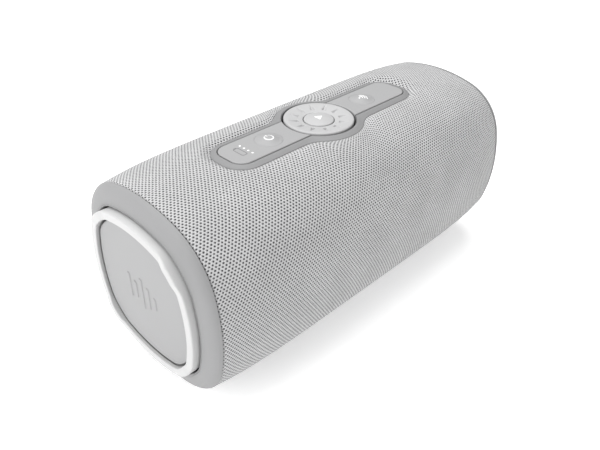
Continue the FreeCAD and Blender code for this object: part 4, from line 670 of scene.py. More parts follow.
def new_material(name):
    """A node material with a Principled shader, its tree and its Object coordinates."""
    material = bpy.data.materials.new(name)
    material.use_nodes = True
    tree = material.node_tree
    shader = tree.nodes["Principled BSDF"]
    place = tree.nodes.new("ShaderNodeTexCoord").outputs["Object"]
    return material, tree, shader, place


def add_bump(tree, shader, height, strength, distance):
    """A bump node that turns a height into the shader's normal."""
    bump = tree.nodes.new("ShaderNodeBump")
    bump.inputs["Strength"].default_value = strength
    bump.inputs["Distance"].default_value = distance
    link_nodes(tree, (height, bump.inputs["Height"]), (bump.outputs["Normal"], shader.inputs["Normal"]))


def moulded(name, tone, roughness, grain=2600.0, drift=0.06, relief=0.05, spread=0.1, metallic=0.0,
            coat=0.0, specular=0.5, stretch=(1.0, 1.0, 1.0), glow=0.0):
    """A plain finish: drifting tone, uneven gloss and fine grain, for plastic, rubber or metal.

    The stretch draws the grain out along an axis, as brushing or pressing does."""
    material, tree, shader, place = new_material(name)
    if "moulded_surface" not in bpy.data.node_groups:
        surface_group()
    stretched = vector_node(tree, "MULTIPLY", place, stretch).outputs[0]
    group = tree.nodes.new("ShaderNodeGroup")
    group.node_tree = bpy.data.node_groups["moulded_surface"]
    for label, amount in (("Tone", (*tone, 1.0)), ("Drift", drift), ("Grain", grain),
                          ("Roughness", roughness), ("Spread", spread)):
        group.inputs[label].default_value = amount
    link_nodes(tree, (stretched, group.inputs["Vector"]),
               (group.outputs["Color"], shader.inputs["Base Color"]),
               (group.outputs["Roughness"], shader.inputs["Roughness"]))
    shader.inputs["Metallic"].default_value = metallic
    shader.inputs["Coat Weight"].default_value = coat
    shader.inputs["Specular IOR Level"].default_value = specular
    if glow:
        shader.inputs["Emission Color"].default_value = (1.0, 1.0, 1.0, 1.0)
        shader.inputs["Emission Strength"].default_value = glow
    add_bump(tree, shader, group.outputs["Height"], relief, 0.1 * MM)
    return material


def knitted(name, thread, pore):
    """Fabric: light raised threads round dark oval pores, with fibre streaks, slow shade drift and painted
    shade on the threads' slopes beside the pores.
    """
    material, tree, shader, place = new_material(name)
    weave = tree.nodes.new("ShaderNodeGroup")
    weave.node_tree = weave_group()
    cloth_map = tree.nodes.new("ShaderNodeUVMap")
    cloth_map.uv_map = "knit"
    link_nodes(tree, (cloth_map.outputs["UV"], weave.inputs["Vector"]))
    streak = remap(tree, weave.outputs["Strand"], 0.3, 0.7, 0.86, 1.1)
    slow = remap(tree, noise(tree, place, 60.0, 2.0), 0.3, 0.7, 0.96, 1.04)
    # Painted shade and highlight: the thread tone darkens on the slopes down to the pores and lightens a
    # little on the crowns.
    hollow = remap(tree, weave.outputs["Relief"], 0.2, 1.0, 0.72, 1.06)
    shade = math_node(tree, "MULTIPLY", math_node(tree, "MULTIPLY", streak, slow), hollow)
    thread_tone = vector_node(tree, "SCALE", thread)
    link_nodes(tree, (shade, thread_tone.inputs["Scale"]))
    mix = tree.nodes.new("ShaderNodeMix")
    mix.data_type = "RGBA"
    mix_colours = [socket for socket in mix.inputs if socket.type == "RGBA"]
    mix_colours[1].default_value = (*pore, 1.0)
    result = [socket for socket in mix.outputs if socket.type == "RGBA"][0]
    link_nodes(tree, (weave.outputs["Pore"], mix.inputs["Factor"]),
               (thread_tone.outputs["Vector"], mix_colours[0]), (result, shader.inputs["Base Color"]))
    link_nodes(tree, (remap(tree, weave.outputs["Strand"], 0.2, 0.8, 0.78, 0.95), shader.inputs["Roughness"]))
    shader.inputs["Specular IOR Level"].default_value = 0.25
    shader.inputs["Sheen Weight"].default_value = 0.15
    add_bump(tree, shader, weave.outputs["Relief"], 0.75, 0.35 * MM)
    return material


FINISH = {}


def make_finishes(colours):
    """Builds every finish once, by the slot it stands for."""
    FINISH["woven_fabric"] = knitted("knitted_fabric", tuple(colours.thread), tuple(colours.pore))
    plain = {
        "bumper_rubber": ("soft_bumper", colours.bumper, 0.62, 3000.0, 0.04, 0.06),
        "ring_plastic": ("satin_ring", colours.ring, 0.42, 2400.0, 0.02, 0.02),
        "radiator_skin": ("matt_plate", colours.plate, 0.60, 2800.0, 0.04, 0.06),
        "panel_plastic": ("matt_panel", colours.panel, 0.55, 3400.0, 0.03, 0.05),
        "bezel_plastic": ("matt_bezel", colours.bezel, 0.55, 3400.0, 0.04, 0.05),
        "dial_plastic": ("satin_dial", colours.dial, 0.48, 3000.0, 0.03, 0.03),
        "foot_rubber": ("foot_grip", colours.rubber, 0.75, 2200.0, 0.08, 0.12),
        "cover_rubber": ("cover_grip", colours.rubber, 0.68, 2600.0, 0.06, 0.08),
        "inner_plastic": ("black_moulding", (0.013, 0.013, 0.014), 0.55, 1800.0, 0.20, 0.10),
        "frame_plastic": ("dark_frame", (0.027, 0.027, 0.029), 0.60, 1800.0, 0.20, 0.12),
        "surround_rubber": ("black_rubber", (0.012, 0.012, 0.012), 0.70, 2000.0, 0.25, 0.10),
        "cone_paper": ("pressed_cone", (0.022, 0.022, 0.024), 0.85, 900.0, 0.30, 0.25),
    }
    for slot, (name, tone, roughness, grain, drift, relief) in plain.items():
        FINISH[slot] = moulded(name, tuple(tone), roughness, grain, drift, relief)
    # The white print glows a little: painted light, since the print is no lamp. The battery light discs share
    # this finish.
    FINISH["white_mark"] = moulded("white_print_painted_glow", tuple(colours.mark), 0.45, 3600.0, 0.02, 0.02, glow=0.12)
    FINISH["dark_mark"] = moulded("grey_print", tuple(colours.dark_mark), 0.5, 3600.0, 0.05, 0.02)
    FINISH["light_pipe"] = moulded("white_light_pipe", (0.95, 0.95, 0.95), 0.2, 1500.0, 0.01, 0.01, coat=0.5,
                                   glow=0.35)
    FINISH["steel"] = moulded("zinc_steel", (0.55, 0.55, 0.57), 0.34, 5200.0, 0.12, 0.08, metallic=1.0,
                              spread=0.3)
    FINISH["socket_steel"] = moulded("drawn_steel", (0.6, 0.6, 0.62), 0.28, 6000.0, 0.10, 0.06, metallic=1.0,
                                     spread=0.25, stretch=(1.0, 0.15, 1.0))
    FINISH["magnet_black"] = moulded("coated_magnet", (0.012, 0.012, 0.013), 0.45, 1400.0, 0.25, 0.2,
                                     coat=0.2)
    FINISH["coil_copper"] = moulded("wound_copper", (0.60, 0.24, 0.09), 0.35, 9000.0, 0.25, 0.5,
                                    metallic=1.0, spread=0.3, stretch=(0.05, 1.0, 0.05))
    FINISH["circuit_board"] = moulded("solder_mask", (0.01, 0.075, 0.03), 0.32, 1200.0, 0.30, 0.06, coat=0.4)
    FINISH["cell_wrap"] = moulded("shrink_wrap", (0.03, 0.12, 0.38), 0.28, 500.0, 0.10, 0.12, coat=0.3)
    FINISH["spider_cloth"] = moulded("stiff_cloth", (0.45, 0.28, 0.09), 0.85, 3000.0, 0.25, 0.5)


# ---------------------------------------------------------------- operators

class SPEAKER_OT_stage(bpy.types.Operator):
    """Adds the floor, the lights and the camera"""

    bl_idname = "speaker.stage"
    bl_label = "Stage"

    def execute(self, context):
        stage = context.scene.speaker_stage
        floor_mesh = bpy.data.meshes.new("floor")
        x = np.linspace(-2.5, 2.5, 9)
        floor_mesh.from_pydata(stack(x[:, None], x[None, :], 0.0).reshape(-1, 3).tolist(), [],
                               grid_quads(9, 9).tolist())
        floor = bpy.data.objects.new("floor", floor_mesh)
        floor_mesh.materials.append(moulded("paper_floor", tuple(stage.floor_colour), 0.9, 300.0, 0.01, 0.01,
                                            specular=0.1, glow=stage.floor_glow))
        context.scene.collection.objects.link(floor)
        heart = Vector((0.0, 0.0, AXIS_HEIGHT))
        for name, place, size, power in (("top_light", (0.10, 0.30, 1.10), 1.2, 11.5),
                                         ("side_light", (-1.10, 0.10, 0.70), 0.9, 8.5),
                                         ("front_light", (0.30, -1.30, 0.55), 1.0, 2.4)):
            lamp = bpy.data.lights.new(name, "AREA")
            lamp.shape = "DISK"
            lamp.size = size
            lamp.energy = power
            holder = bpy.data.objects.new(name, lamp)
            holder.location = place
            holder.rotation_mode = "QUATERNION"
            holder.rotation_quaternion = (heart - Vector(place)).to_track_quat("-Z", "Y")
            context.scene.collection.objects.link(holder)
        world = context.scene.world or bpy.data.worlds.new("studio")
        context.scene.world = world
        world.use_nodes = True
        background = world.node_tree.nodes["Background"]
        background.inputs["Color"].default_value = (1.0, 1.0, 1.0, 1.0)
        background.inputs["Strength"].default_value = stage.sky
        context.scene.view_settings.view_transform = "Standard"
        camera = bpy.data.cameras.new("camera")
        camera.sensor_width = 36.0
        camera.lens = stage.lens
        camera.clip_start = 0.01
        camera.clip_end = 20.0
        heading, tilt, roll = stage.heading, stage.tilt, stage.roll
        back = Vector((np.sin(heading) * np.cos(tilt), -np.cos(heading) * np.cos(tilt), np.sin(tilt)))
        right = Vector((np.cos(heading), np.sin(heading), 0.0))
        up = back.cross(right)
        rolled_right = right * np.cos(roll) + up * np.sin(roll)
        rolled_up = up * np.cos(roll) - right * np.sin(roll)
        holder = bpy.data.objects.new("camera", camera)
        turn = Matrix((rolled_right, rolled_up, back)).transposed()
        holder.matrix_world = Matrix.Translation(Vector(stage.eye)) @ turn.to_4x4()
        context.scene.collection.objects.link(holder)
        context.scene.camera = holder
        return {"FINISHED"}


class SPEAKER_OT_sleeve(bpy.types.Operator):
    """Adds the knitted sleeve, with its openings and rolled edges"""

    bl_idname = "speaker.sleeve"
    bl_label = "Fabric sleeve"

    def execute(self, context):
        body = context.scene.speaker_body
        module = context.scene.speaker_module
        port = context.scene.speaker_port
        angles, runs = section_measure(body)
        half_run = runs[-1] / 2
        along = graded(np.array([-FABRIC_EDGE, -FABRIC_EDGE + 1.2 * MM, -62 * MM, 62 * MM,
                                 FABRIC_EDGE - 1.2 * MM, FABRIC_EDGE]),
                       np.array([0.2, 2.2, 0.85, 2.2, 0.2]) * MM)
        around = graded(np.array([-half_run, -127 * MM, -86 * MM, -65 * MM, -29 * MM, 29 * MM, 127 * MM,
                                  half_run]),
                        np.array([1.2, 3.2, 1.1, 3.2, 0.85, 3.2, 1.2]) * MM)
        turn = np.interp(np.mod(around, runs[-1]), runs, angles)
        turn[-1] = turn[0] + 2 * np.pi
        x, turn = np.meshgrid(along, turn, indexing="ij")
        run = np.broadcast_to(around, x.shape)
        taper = body.end_drop * (np.abs(x) / FABRIC_EDGE) ** body.taper_power
        roll_in = np.clip((np.abs(x) - FABRIC_EDGE + body.hem_width) / body.hem_width, 0, 1)
        inset = taper + body.hem_depth * (1 - np.sqrt(1 - roll_in ** 2))
        y, z = section(turn, inset, body)
        on_top, below, behind = z > 0.7 * body.half_size, z < -0.7 * body.half_size, y > 0.7 * body.half_size

        def top_gap(px, py):
            return module_distance(px, py, module)

        def foot_gap(px, py):
            return rectangle_distance(px, py, port.foot_length, port.foot_width, port.foot_corner)

        def port_gap(px, pz):
            return rectangle_distance(px, pz, port.half_length, port.half_height, port.corner)

        loose_y = y
        x, y, gap, keep, edge = fit_opening(x, y, top_gap, on_top)
        z = np.where(edge, roof(y, inset, body), z)
        dip = np.maximum(z - (body.tuck_level - AXIS_HEIGHT), 0)
        width = body.tuck_width * (0.8 + 0.12 * dip / MM)
        z = z - np.where(on_top, dip * np.exp(-(gap / width) ** 2), 0.0)
        swell = np.maximum(module_swell(x, module), 0)
        warp = np.where(on_top, swell * np.exp(-np.maximum(gap, 0) / body.warp_reach), 0)
        lattice_run = run + loose_y - y - np.sign(run) * warp

        x, y, gap, kept, edge = fit_opening(x, y, foot_gap, below)
        z = np.where(edge, -roof(y, inset, body), z)
        z = z + np.where(below, body.tuck_depth * np.exp(-(gap / body.tuck_width) ** 2), 0)
        keep &= kept

        x, z, gap, kept, edge = fit_opening(x, z, port_gap, behind)
        y = np.where(edge, roof(z, inset, body), y)
        y = y - np.where(behind, body.tuck_depth * np.exp(-(gap / body.tuck_width) ** 2), 0)
        keep &= kept

        rows = round(runs[-1] / body.row_pitch / 2) * 2
        knit = np.stack([x / body.pore_pitch, lattice_run / runs[-1] * rows], axis=-1)
        quads = grid_quads(*x.shape)
        quads = quads[keep.ravel()[quads].all(axis=1)]
        sleeve = add_piece("fabric_sleeve_knit", stack(x, y, AXIS_HEIGHT + z), quads, FINISH["woven_fabric"],
                           "speaker_body", ["fabric_sleeve"],
                           inside=(0.0, 0.0, AXIS_HEIGHT), uv=knit)
        wall = sleeve.modifiers.new("cloth", "SOLIDIFY")
        wall.thickness = body.cloth_thickness
        wall.offset = -1.0
        return {"FINISHED"}


def module_swell(x, sizes):
    """How much wider the control module is than its arms at a place along the body."""
    blend_y = sizes.half_width + sizes.blend
    blend_x = np.sqrt((sizes.bulge + sizes.blend) ** 2 - blend_y ** 2)
    along = np.abs(x)
    round_part = np.sqrt(np.maximum(sizes.bulge ** 2 - along ** 2, 0))
    hollow = blend_y - np.sqrt(np.maximum(sizes.blend ** 2 - (along - blend_x) ** 2, 0))
    touch = blend_x * sizes.bulge / (sizes.bulge + sizes.blend)
    width = np.where(along < touch, round_part, np.where(along < blend_x, hollow, sizes.half_width))
    return width - sizes.half_width


class SPEAKER_OT_bumpers(bpy.types.Operator):
    """Adds the soft bumper at each end"""

    bl_idname = "speaker.bumpers"
    bl_label = "End bumpers"

    def execute(self, context):
        body, ends = context.scene.speaker_body, context.scene.speaker_ends
        turns = even_turns(body, 320)
        t = np.linspace(0, np.pi / 2, 26)
        reach_out = BUMPER_FACE - BUMPER_BACK
        crown = np.stack([BUMPER_BACK + reach_out * np.sin(t),
                          body.end_drop + (ends.bumper_inner - body.end_drop) * (1 - np.cos(t))], 1)[:-1]
        inner = rounded_path([(BUMPER_FACE, ends.bumper_inner - 0.9 * MM), (BUMPER_FACE, ends.bumper_inner),
                              (BUMPER_BACK, ends.bumper_inner), (BUMPER_BACK, body.end_drop + 1.2 * MM)],
                             [0.35 * MM, 0.3 * MM])
        edge = rounded_path([(BUMPER_BACK, body.end_drop + 1.0 * MM), (BUMPER_BACK, body.end_drop),
                             (BUMPER_BACK + 0.5 * MM, body.end_drop)], [0.2 * MM])
        profile = np.vstack([edge, crown[crown[:, 0] > BUMPER_BACK + 0.5 * MM], inner])
        profile = profile[np.r_[True, np.linalg.norm(np.diff(profile, axis=0), axis=1) > 0.005 * MM]]
        for side, word in SIDES:
            loops = section_sweep(profile[:, :1], profile[:, 1:], turns, body, side)
            add_sweep(f"end_bumper_{word}_soft", loops, FINISH["bumper_rubber"], "speaker_body",
                      [f"end_bumper_{word}"], closed=True)
        return {"FINISHED"}


class SPEAKER_OT_foot_rings(bpy.types.Operator):
    """Adds the white foot ring with its four raised pads at each end"""

    bl_idname = "speaker.foot_rings"
    bl_label = "Foot rings"

    def execute(self, context):
        body, ends = context.scene.speaker_body, context.scene.speaker_ends
        turns = even_turns(body, 480)
        lip_back = ends.ring_face - 1.8 * MM
        profile = rounded_path([(RING_BACK, ends.ring_outer + 1.5 * MM), (RING_BACK, ends.ring_outer),
                                (ends.ring_face, ends.ring_outer), (ends.ring_face, ends.ring_inner),
                                (lip_back, ends.ring_inner), (lip_back, ends.ring_outer + 3.1 * MM),
                                (RING_BACK, ends.ring_outer + 3.1 * MM),
                                (RING_BACK, ends.ring_outer + 1.6 * MM)],
                               [0.2 * MM, ends.ring_rounding, 0.45 * MM, 0.3 * MM, 0.3 * MM, 0.2 * MM])
        station, inset = profile[:, :1], profile[:, 1:]
        mean_radius = body.corner_radius - (ends.ring_outer + ends.ring_inner) / 2
        off_diagonal = (np.mod(turns, np.pi / 2) - np.pi / 4) * mean_radius
        raised = 1 - smooth_step(np.abs(off_diagonal), ends.pad_half_length - ends.pad_edge,
                                 ends.pad_half_length + ends.pad_edge)
        front = smooth_step(station, lip_back, ends.ring_face)
        outer_side = smooth_step(station, RING_BACK + 3.5 * MM, ends.ring_face - 0.5 * MM)
        mid = (ends.ring_outer + ends.ring_inner) / 2
        swell = np.where(inset > mid, 1.0, -1.0) * smooth_step(np.abs(inset - mid), 0.5 * MM, 2.5 * MM)
        crown = 0.12 * MM * (1 - ((inset - mid) / (ends.ring_inner - mid)) ** 2)
        face = smooth_step(station, ends.ring_face - 0.4 * MM, ends.ring_face)
        station = station + (PAD_FACE - ends.ring_face) * raised * front
        station = station + np.minimum(crown, 0) * face
        inset = inset + ends.pad_swell * raised * swell * np.maximum(front, outer_side)
        for side, word in SIDES:
            loops = section_sweep(station, inset, turns, body, side)
            add_sweep(f"foot_ring_{word}_moulded", loops, FINISH["ring_plastic"], "speaker_body",
                      [f"foot_ring_{word}"], closed=True)
        return {"FINISHED"}


class SPEAKER_OT_radiators(bpy.types.Operator):
    """Adds the moving radiator plate with its raised bars at each end"""

    bl_idname = "speaker.radiators"
    bl_label = "Radiator plates"

    def execute(self, context):
        body, ends = context.scene.speaker_body, context.scene.speaker_ends
        turns = even_turns(body, 288)
        half = body.half_size - ends.plate_inset
        face = ends.ring_face - ends.plate_recess
        back = face - ends.plate_thickness
        rounding = 0.5 * MM
        t = np.linspace(0, np.pi / 2, 7)
        radial = np.concatenate([np.linspace(0, 13 * MM, 66), np.linspace(13 * MM, half - 1.2 * MM, 20)[1:],
                                 [half - rounding - 0.15 * MM]])
        rows_front = np.stack([np.full_like(radial, face), radial], 1)
        rim = np.stack([face - rounding * (1 - np.cos(t)), half - rounding * (1 - np.sin(t))], 1)
        side_wall = np.array([[face - 0.8 * MM, half], [back + 0.25 * MM, half], [back, half - 0.25 * MM],
                              [back, half - 3 * MM], [back, 0.0]])
        profile = np.vstack([rows_front, rim, side_wall])
        scale = profile[:, 1:] / half
        edge_y, edge_z = section(turns, ends.plate_inset, body)
        y, z = scale * edge_y, scale * edge_z
        lift = np.zeros_like(y)
        for index, part in enumerate((0.4, 0.7, 1.0, 0.55, 0.8)):
            bar_y = ends.bar_pitch * (index - 2)
            straight = np.maximum(ends.bar_reach * part - ends.bar_half_width, 0)
            from_bar = np.hypot(y - bar_y, np.maximum(np.abs(z) - straight, 0)) - ends.bar_half_width
            lift = np.maximum(lift, ends.bar_height * (1 - smooth_step(from_bar, -0.3 * MM, 0.08 * MM)))
        on_face = (profile[:, :1] > face - 0.01 * MM)
        station = profile[:, :1] + np.where(on_face, lift, 0)
        for side, word in SIDES:
            loops = stack(side * station, y, AXIS_HEIGHT + z)
            add_sweep(f"radiator_plate_{word}_face", loops, FINISH["radiator_skin"], f"radiator_{word}",
                      [f"radiator_plate_{word}"])
        return {"FINISHED"}


class SPEAKER_OT_module(bpy.types.Operator):
    """Adds the bezel and the panel of the control module"""

    bl_idname = "speaker.module"
    bl_label = "Bezel and panel"

    def execute(self, context):
        sizes = context.scene.speaker_module
        outer = module_loop(sizes.half_length, sizes.half_width, sizes.corner, sizes.bulge, sizes.blend)
        window = module_loop(sizes.land_length + sizes.land_gap, sizes.land_width + sizes.land_gap,
                             sizes.land_corner + sizes.land_gap, sizes.well, 0.0)
        lip = PANEL_LEVEL - sizes.lip_drop
        rim = lip - sizes.edge_rise + 0.15 * MM
        base = PANEL_LEVEL - 4.2 * MM
        width = sizes.half_width - sizes.land_width - sizes.land_gap
        path = rounded_path([(0.0, base), (0.0, rim), (0.7 * width, lip), (width, lip), (width, base)],
                            [0.45 * MM, 4.0 * MM, 0.25 * MM])
        part = (path[:, 0] / width)[:, None]
        flat = outer[None] + (window - outer)[None] * part[:, :, None]
        loops = stack(flat[..., 0], flat[..., 1], path[:, 1:])
        add_sweep("control_bezel_rim", loops, FINISH["bezel_plastic"], "speaker_body",
                  ["control_bezel"], inside=(0.0, 0.0, base))
        self.add_panel(sizes)
        return {"FINISHED"}

    def add_panel(self, sizes):
        """The panel's two lands, each between a rounded end and the dial's well.

        Rows run across the land, and each runs from the end's outline to the well's circle. The edge is
        lowered by a quarter circle of the distance to the outline, and a hole is opened round the key."""
        rounding = 0.55 * MM
        across = (2 * eased(64) - 1)[:, None] * sizes.land_width
        corner_rise = np.maximum(np.abs(across) - sizes.land_width + sizes.land_corner, 0)
        end = sizes.land_length - sizes.land_corner + np.sqrt(sizes.land_corner ** 2 - corner_rise ** 2)
        circle = np.sqrt(sizes.well ** 2 - across ** 2)
        hole = sizes.key_radius + sizes.key_gap
        parts, faces, start = [], [], 0
        for side, key_x in ((-1, sizes.power_x), (1, sizes.pair_x)):
            x = side * (end + (circle - end) * eased(110))
            y = np.broadcast_to(across, x.shape)

            def key_distance(px, py):
                return np.hypot(px - key_x, py) - hole

            inside_hole = key_distance(x, y) < 0
            edge = beside_kept(~inside_hole)
            x, y = pull_to_outline(x, y, key_distance, edge)
            to_end = -rectangle_distance(x, y, sizes.land_length, sizes.land_width, sizes.land_corner)
            to_edge = np.clip(np.minimum(to_end, np.hypot(x, y) - sizes.well), 0, rounding)
            top = PANEL_LEVEL - rounding + np.sqrt(rounding ** 2 - (rounding - to_edge) ** 2)
            points = np.stack([x, y, top], -1)
            skirt = skirted(points, 2, PANEL_LEVEL - 3.5 * MM)
            kept = np.pad(~(inside_hole & ~edge), 1, constant_values=True)
            quads = grid_quads(*skirt.shape[:2])
            faces.append(quads[kept.ravel()[quads].all(axis=1)] + start)
            parts.append(skirt.reshape(-1, 3))
            start += parts[-1].shape[0]
            angle = round_angles(96)
            wall = stack(key_x + hole * np.cos(angle), hole * np.sin(angle),
                         np.array([[PANEL_LEVEL], [PANEL_LEVEL - 2.5 * MM]]))
            faces.append(grid_quads(2, 96, wrap_columns=True)[:, ::-1] + start)
            parts.append(wall.reshape(-1, 3))
            start += parts[-1].shape[0]
        add_piece("control_panel_face", np.vstack(parts), np.vstack(faces), FINISH["panel_plastic"],
                  "speaker_body", ["control_panel"], inside=(0.0, 0.0, PANEL_LEVEL - 0.2))


class SPEAKER_OT_dial(bpy.types.Operator):
    """Adds the volume dial with twelve wedge grooves, and the domed play button"""

    bl_idname = "speaker.dial"
    bl_label = "Dial and play button"

    def execute(self, context):
        sizes = context.scene.speaker_module
        outer, bore, base = sizes.dial_radius, sizes.dial_bore, DIAL_BASE
        crest = outer - 1.5 * MM
        slope = np.linspace(bore, crest, 40)
        dish = DIAL_TOP - sizes.dish_depth * ((crest - slope) / (crest - bore)) ** 1.2
        inner_edge = rounded_path([(bore, base), (bore, dish[0]), (slope[3], dish[3])], [0.3 * MM])
        outer_edge = rounded_path([(crest, DIAL_TOP), (outer, DIAL_TOP), (outer, base), (bore, base)],
                                  [0.75 * MM, 0.3 * MM])
        cone = np.stack([slope, dish], 1)[4:-1]
        path = finer(np.vstack([inner_edge, cone, outer_edge]), 0.35 * MM)
        loops = turned_loops(path, 480)
        radius = path[:, :1]
        angle = round_angles(480)
        off = (np.mod(angle + np.pi / 12, np.pi / 6) - np.pi / 12) * radius
        # Each groove is a wedge: it starts deep and wide, and its depth and width fall away outwards.
        start = sizes.groove_start
        far = np.clip((radius - start) / sizes.groove_length, 0, 1)
        half_width = sizes.groove_width * (1 - 0.53 * far)
        opening = smooth_step(radius, start - 0.35 * MM, start + 0.05 * MM)
        depth = sizes.groove_depth * (1 - far) ** 0.8 * opening
        groove = depth * np.exp(-(off / half_width) ** 4)
        on_top = path[:, 1:] > dish[0] - 0.2 * MM
        loops[..., 2] -= np.where(on_top, groove, 0)
        add_sweep("volume_dial_turned", loops, FINISH["dial_plastic"], "dial",
                  ["volume_dial"], closed=True)
        self.add_play(sizes)
        return {"FINISHED"}

    def add_play(self, sizes):
        """The play button: a shallow dome over a rounded rim and a straight wall."""
        radius = sizes.play_radius
        flat = np.linspace(0, radius - 0.5 * MM, 22)
        t = np.linspace(0, np.pi / 2, 8)
        rounding = 0.45 * MM
        rim_level = play_height(radius - rounding, sizes)
        dome = np.stack([flat, play_height(flat, sizes)], 1)
        rim = np.stack([radius - rounding + rounding * np.sin(t), rim_level - rounding * (1 - np.cos(t))], 1)
        path = np.vstack([dome, rim[1:], [[radius, PLAY_BASE + 0.2 * MM], [radius - 0.2 * MM, PLAY_BASE],
                                         [0.0, PLAY_BASE]]])
        add_sweep("play_button_dome", turned_loops(path, 128), FINISH["dial_plastic"], "play_key",
                  ["play_button"])


def play_height(radius, sizes):
    """Height of the play button's dome at a distance from its axis: a shallow parabola."""
    return PLAY_TOP - sizes.play_drop - 0.9 * MM * (radius / sizes.play_radius) ** 2


def key_height(radius, sizes):
    """Height of a power or pairing key: a bell that meets the panel level at the key's rim."""
    share_out = np.clip(radius / sizes.key_radius, 0, 1)
    return PANEL_LEVEL + (KEY_TOP - PANEL_LEVEL) * (0.5 + 0.5 * np.cos(np.pi * share_out)) ** 0.85


class SPEAKER_OT_keys(bpy.types.Operator):
    """Adds the bell-shaped power and pairing keys"""

    bl_idname = "speaker.keys"
    bl_label = "Power and pairing keys"

    def execute(self, context):
        sizes = context.scene.speaker_module
        radius = np.linspace(0, sizes.key_radius, 34)
        bell = np.stack([radius, key_height(radius, sizes)], 1)
        base = PANEL_LEVEL - 2.0 * MM
        path = np.vstack([bell, [[sizes.key_radius, PANEL_LEVEL - 0.15 * MM], [sizes.key_radius, base],
                                 [0.0, base]]])
        for word, along, body in (("power", sizes.power_x, "power_key"),
                                  ("pairing", sizes.pair_x, "pairing_key")):
            add_sweep(f"{word}_button_bell", turned_loops(path, 112, along), FINISH["panel_plastic"], body,
                      [f"{word}_button"])
        return {"FINISHED"}


def ribbon(path, half_width, height, lift):
    """A thin raised stroke along a path on a surface.

    Four lines run beside the path: the outer two lie just under the surface, and the inner two stand
    above it by the lift. The height function gives the surface at each point."""
    path = np.array(path, float)
    ahead = np.gradient(path, axis=0)
    ahead /= np.linalg.norm(ahead, axis=1)[:, None]
    left = np.stack([-ahead[:, 1], ahead[:, 0]], 1)
    offsets = np.array([-1.0, -0.8, 0.8, 1.0])[:, None, None] * half_width
    flat = path[None] + left[None] * offsets
    rise = np.array([-0.02 * MM, lift, lift, -0.02 * MM])[:, None]
    return np.stack([flat[..., 0], flat[..., 1], height(flat[..., 0], flat[..., 1]) + rise], -1)


def arc_path(centre, radius, first, last, count):
    """Points along a circular arc, from the first angle to the last, in degrees."""
    angle = np.radians(np.linspace(first, last, count))
    return np.stack([centre[0] + radius * np.cos(angle), centre[1] + radius * np.sin(angle)], 1)


def add_strokes(name, strokes, finish, body, inside):
    """One piece made of several ribbons."""
    points, faces, start = [], [], 0
    for stroke in strokes:
        faces.append(grid_quads(*stroke.shape[:2]) + start)
        points.append(stroke.reshape(-1, 3))
        start += points[-1].shape[0]
    add_piece(name, np.vstack(points), np.vstack(faces), FINISH[finish], body, [], inside=inside)


class SPEAKER_OT_marks(bpy.types.Operator):
    """Adds the plain printed marks: play triangle, power sign, signal arcs and battery outline"""

    bl_idname = "speaker.marks"
    bl_label = "Printed marks"

    def execute(self, context):
        sizes = context.scene.speaker_module
        lift = sizes.print_height
        under = PANEL_LEVEL - 0.1

        def on_play(x, y):
            return play_height(np.hypot(x, y), sizes)

        def on_power(x, y):
            return key_height(np.hypot(x - sizes.power_x, y), sizes)

        def on_pair(x, y):
            return key_height(np.hypot(x - sizes.pair_x, y), sizes)

        def on_panel(x, y):
            return np.full_like(x, PANEL_LEVEL)

        t = np.linspace(0, 1, 12)
        half = 1.95 * MM
        x = -1.15 * MM + 3.5 * MM * t[:, None] * np.ones(13)
        y = half * (1 - t)[:, None] * np.linspace(-1, 1, 13)[None, :]
        add_piece("play_mark", np.stack([x, y, on_play(x, y) + lift], -1), grid_quads(12, 13),
                  FINISH["white_mark"], "play_key", [], inside=(0.0, 0.0, under))
        centre = (sizes.power_x, -0.2 * MM)
        ring = ribbon(arc_path(centre, 1.95 * MM, 122, 418, 48), 0.27 * MM, on_power, lift)
        stem = ribbon(np.linspace((centre[0], 0.7 * MM), (centre[0], 2.3 * MM), 6), 0.27 * MM, on_power, lift)
        add_strokes("power_mark", [ring, stem], "white_mark", "power_key",
                    (sizes.power_x, 0.0, under))
        source = (sizes.pair_x - 1.7 * MM, 0.0)
        waves = [ribbon(arc_path(source, radius * MM, -48, 48, 18), 0.25 * MM, on_pair, lift)
                 for radius in (1.5, 2.7, 3.9)]
        dot = ribbon(arc_path(source, 0.24 * MM, 0, 360, 13), 0.22 * MM, on_pair, lift)
        add_strokes("pairing_mark", [*waves, dot], "white_mark", "pairing_key",
                    (sizes.pair_x, 0.0, under))
        outline = rectangle_loop(1.3 * MM, 3.2 * MM, 0.7 * MM, 6, 3) + np.array([-46.8 * MM, 0.0])
        outline = np.vstack([outline, outline[:2]])
        terminal = np.linspace((-47.5 * MM, 3.65 * MM), (-46.1 * MM, 3.65 * MM), 5)
        strokes = [ribbon(outline, 0.2 * MM, on_panel, lift), ribbon(terminal, 0.25 * MM, on_panel, lift)]
        add_strokes("battery_mark", strokes, "dark_mark", "speaker_body",
                    (-46.8 * MM, 0.0, under))
        self.add_lights(sizes)
        return {"FINISHED"}

    def add_lights(self, sizes):
        """The four round lights of the battery meter, one disc each in a row across the panel."""
        radius = sizes.light_radius
        path = np.array([(0.0, sizes.print_height), (radius - 0.05 * MM, sizes.print_height),
                         (radius, sizes.print_height - 0.05 * MM), (radius, -1.0 * MM), (0.0, -1.0 * MM)])
        disc = turned_loops(path, 40, sizes.lights_x)
        disc[..., 2] += PANEL_LEVEL
        places = sizes.light_pitch * (np.arange(4) - 1.5)
        points = np.concatenate([disc + np.array([0.0, place, 0.0]) for place in places])
        quads = grid_quads(len(path), 40, wrap_columns=True)
        faces = np.concatenate([quads + index * disc[..., 0].size for index in range(4)])
        add_piece("battery_light_discs", points.reshape(-1, 3), faces, FINISH["white_mark"],
                  "speaker_body", ["battery_lights"])


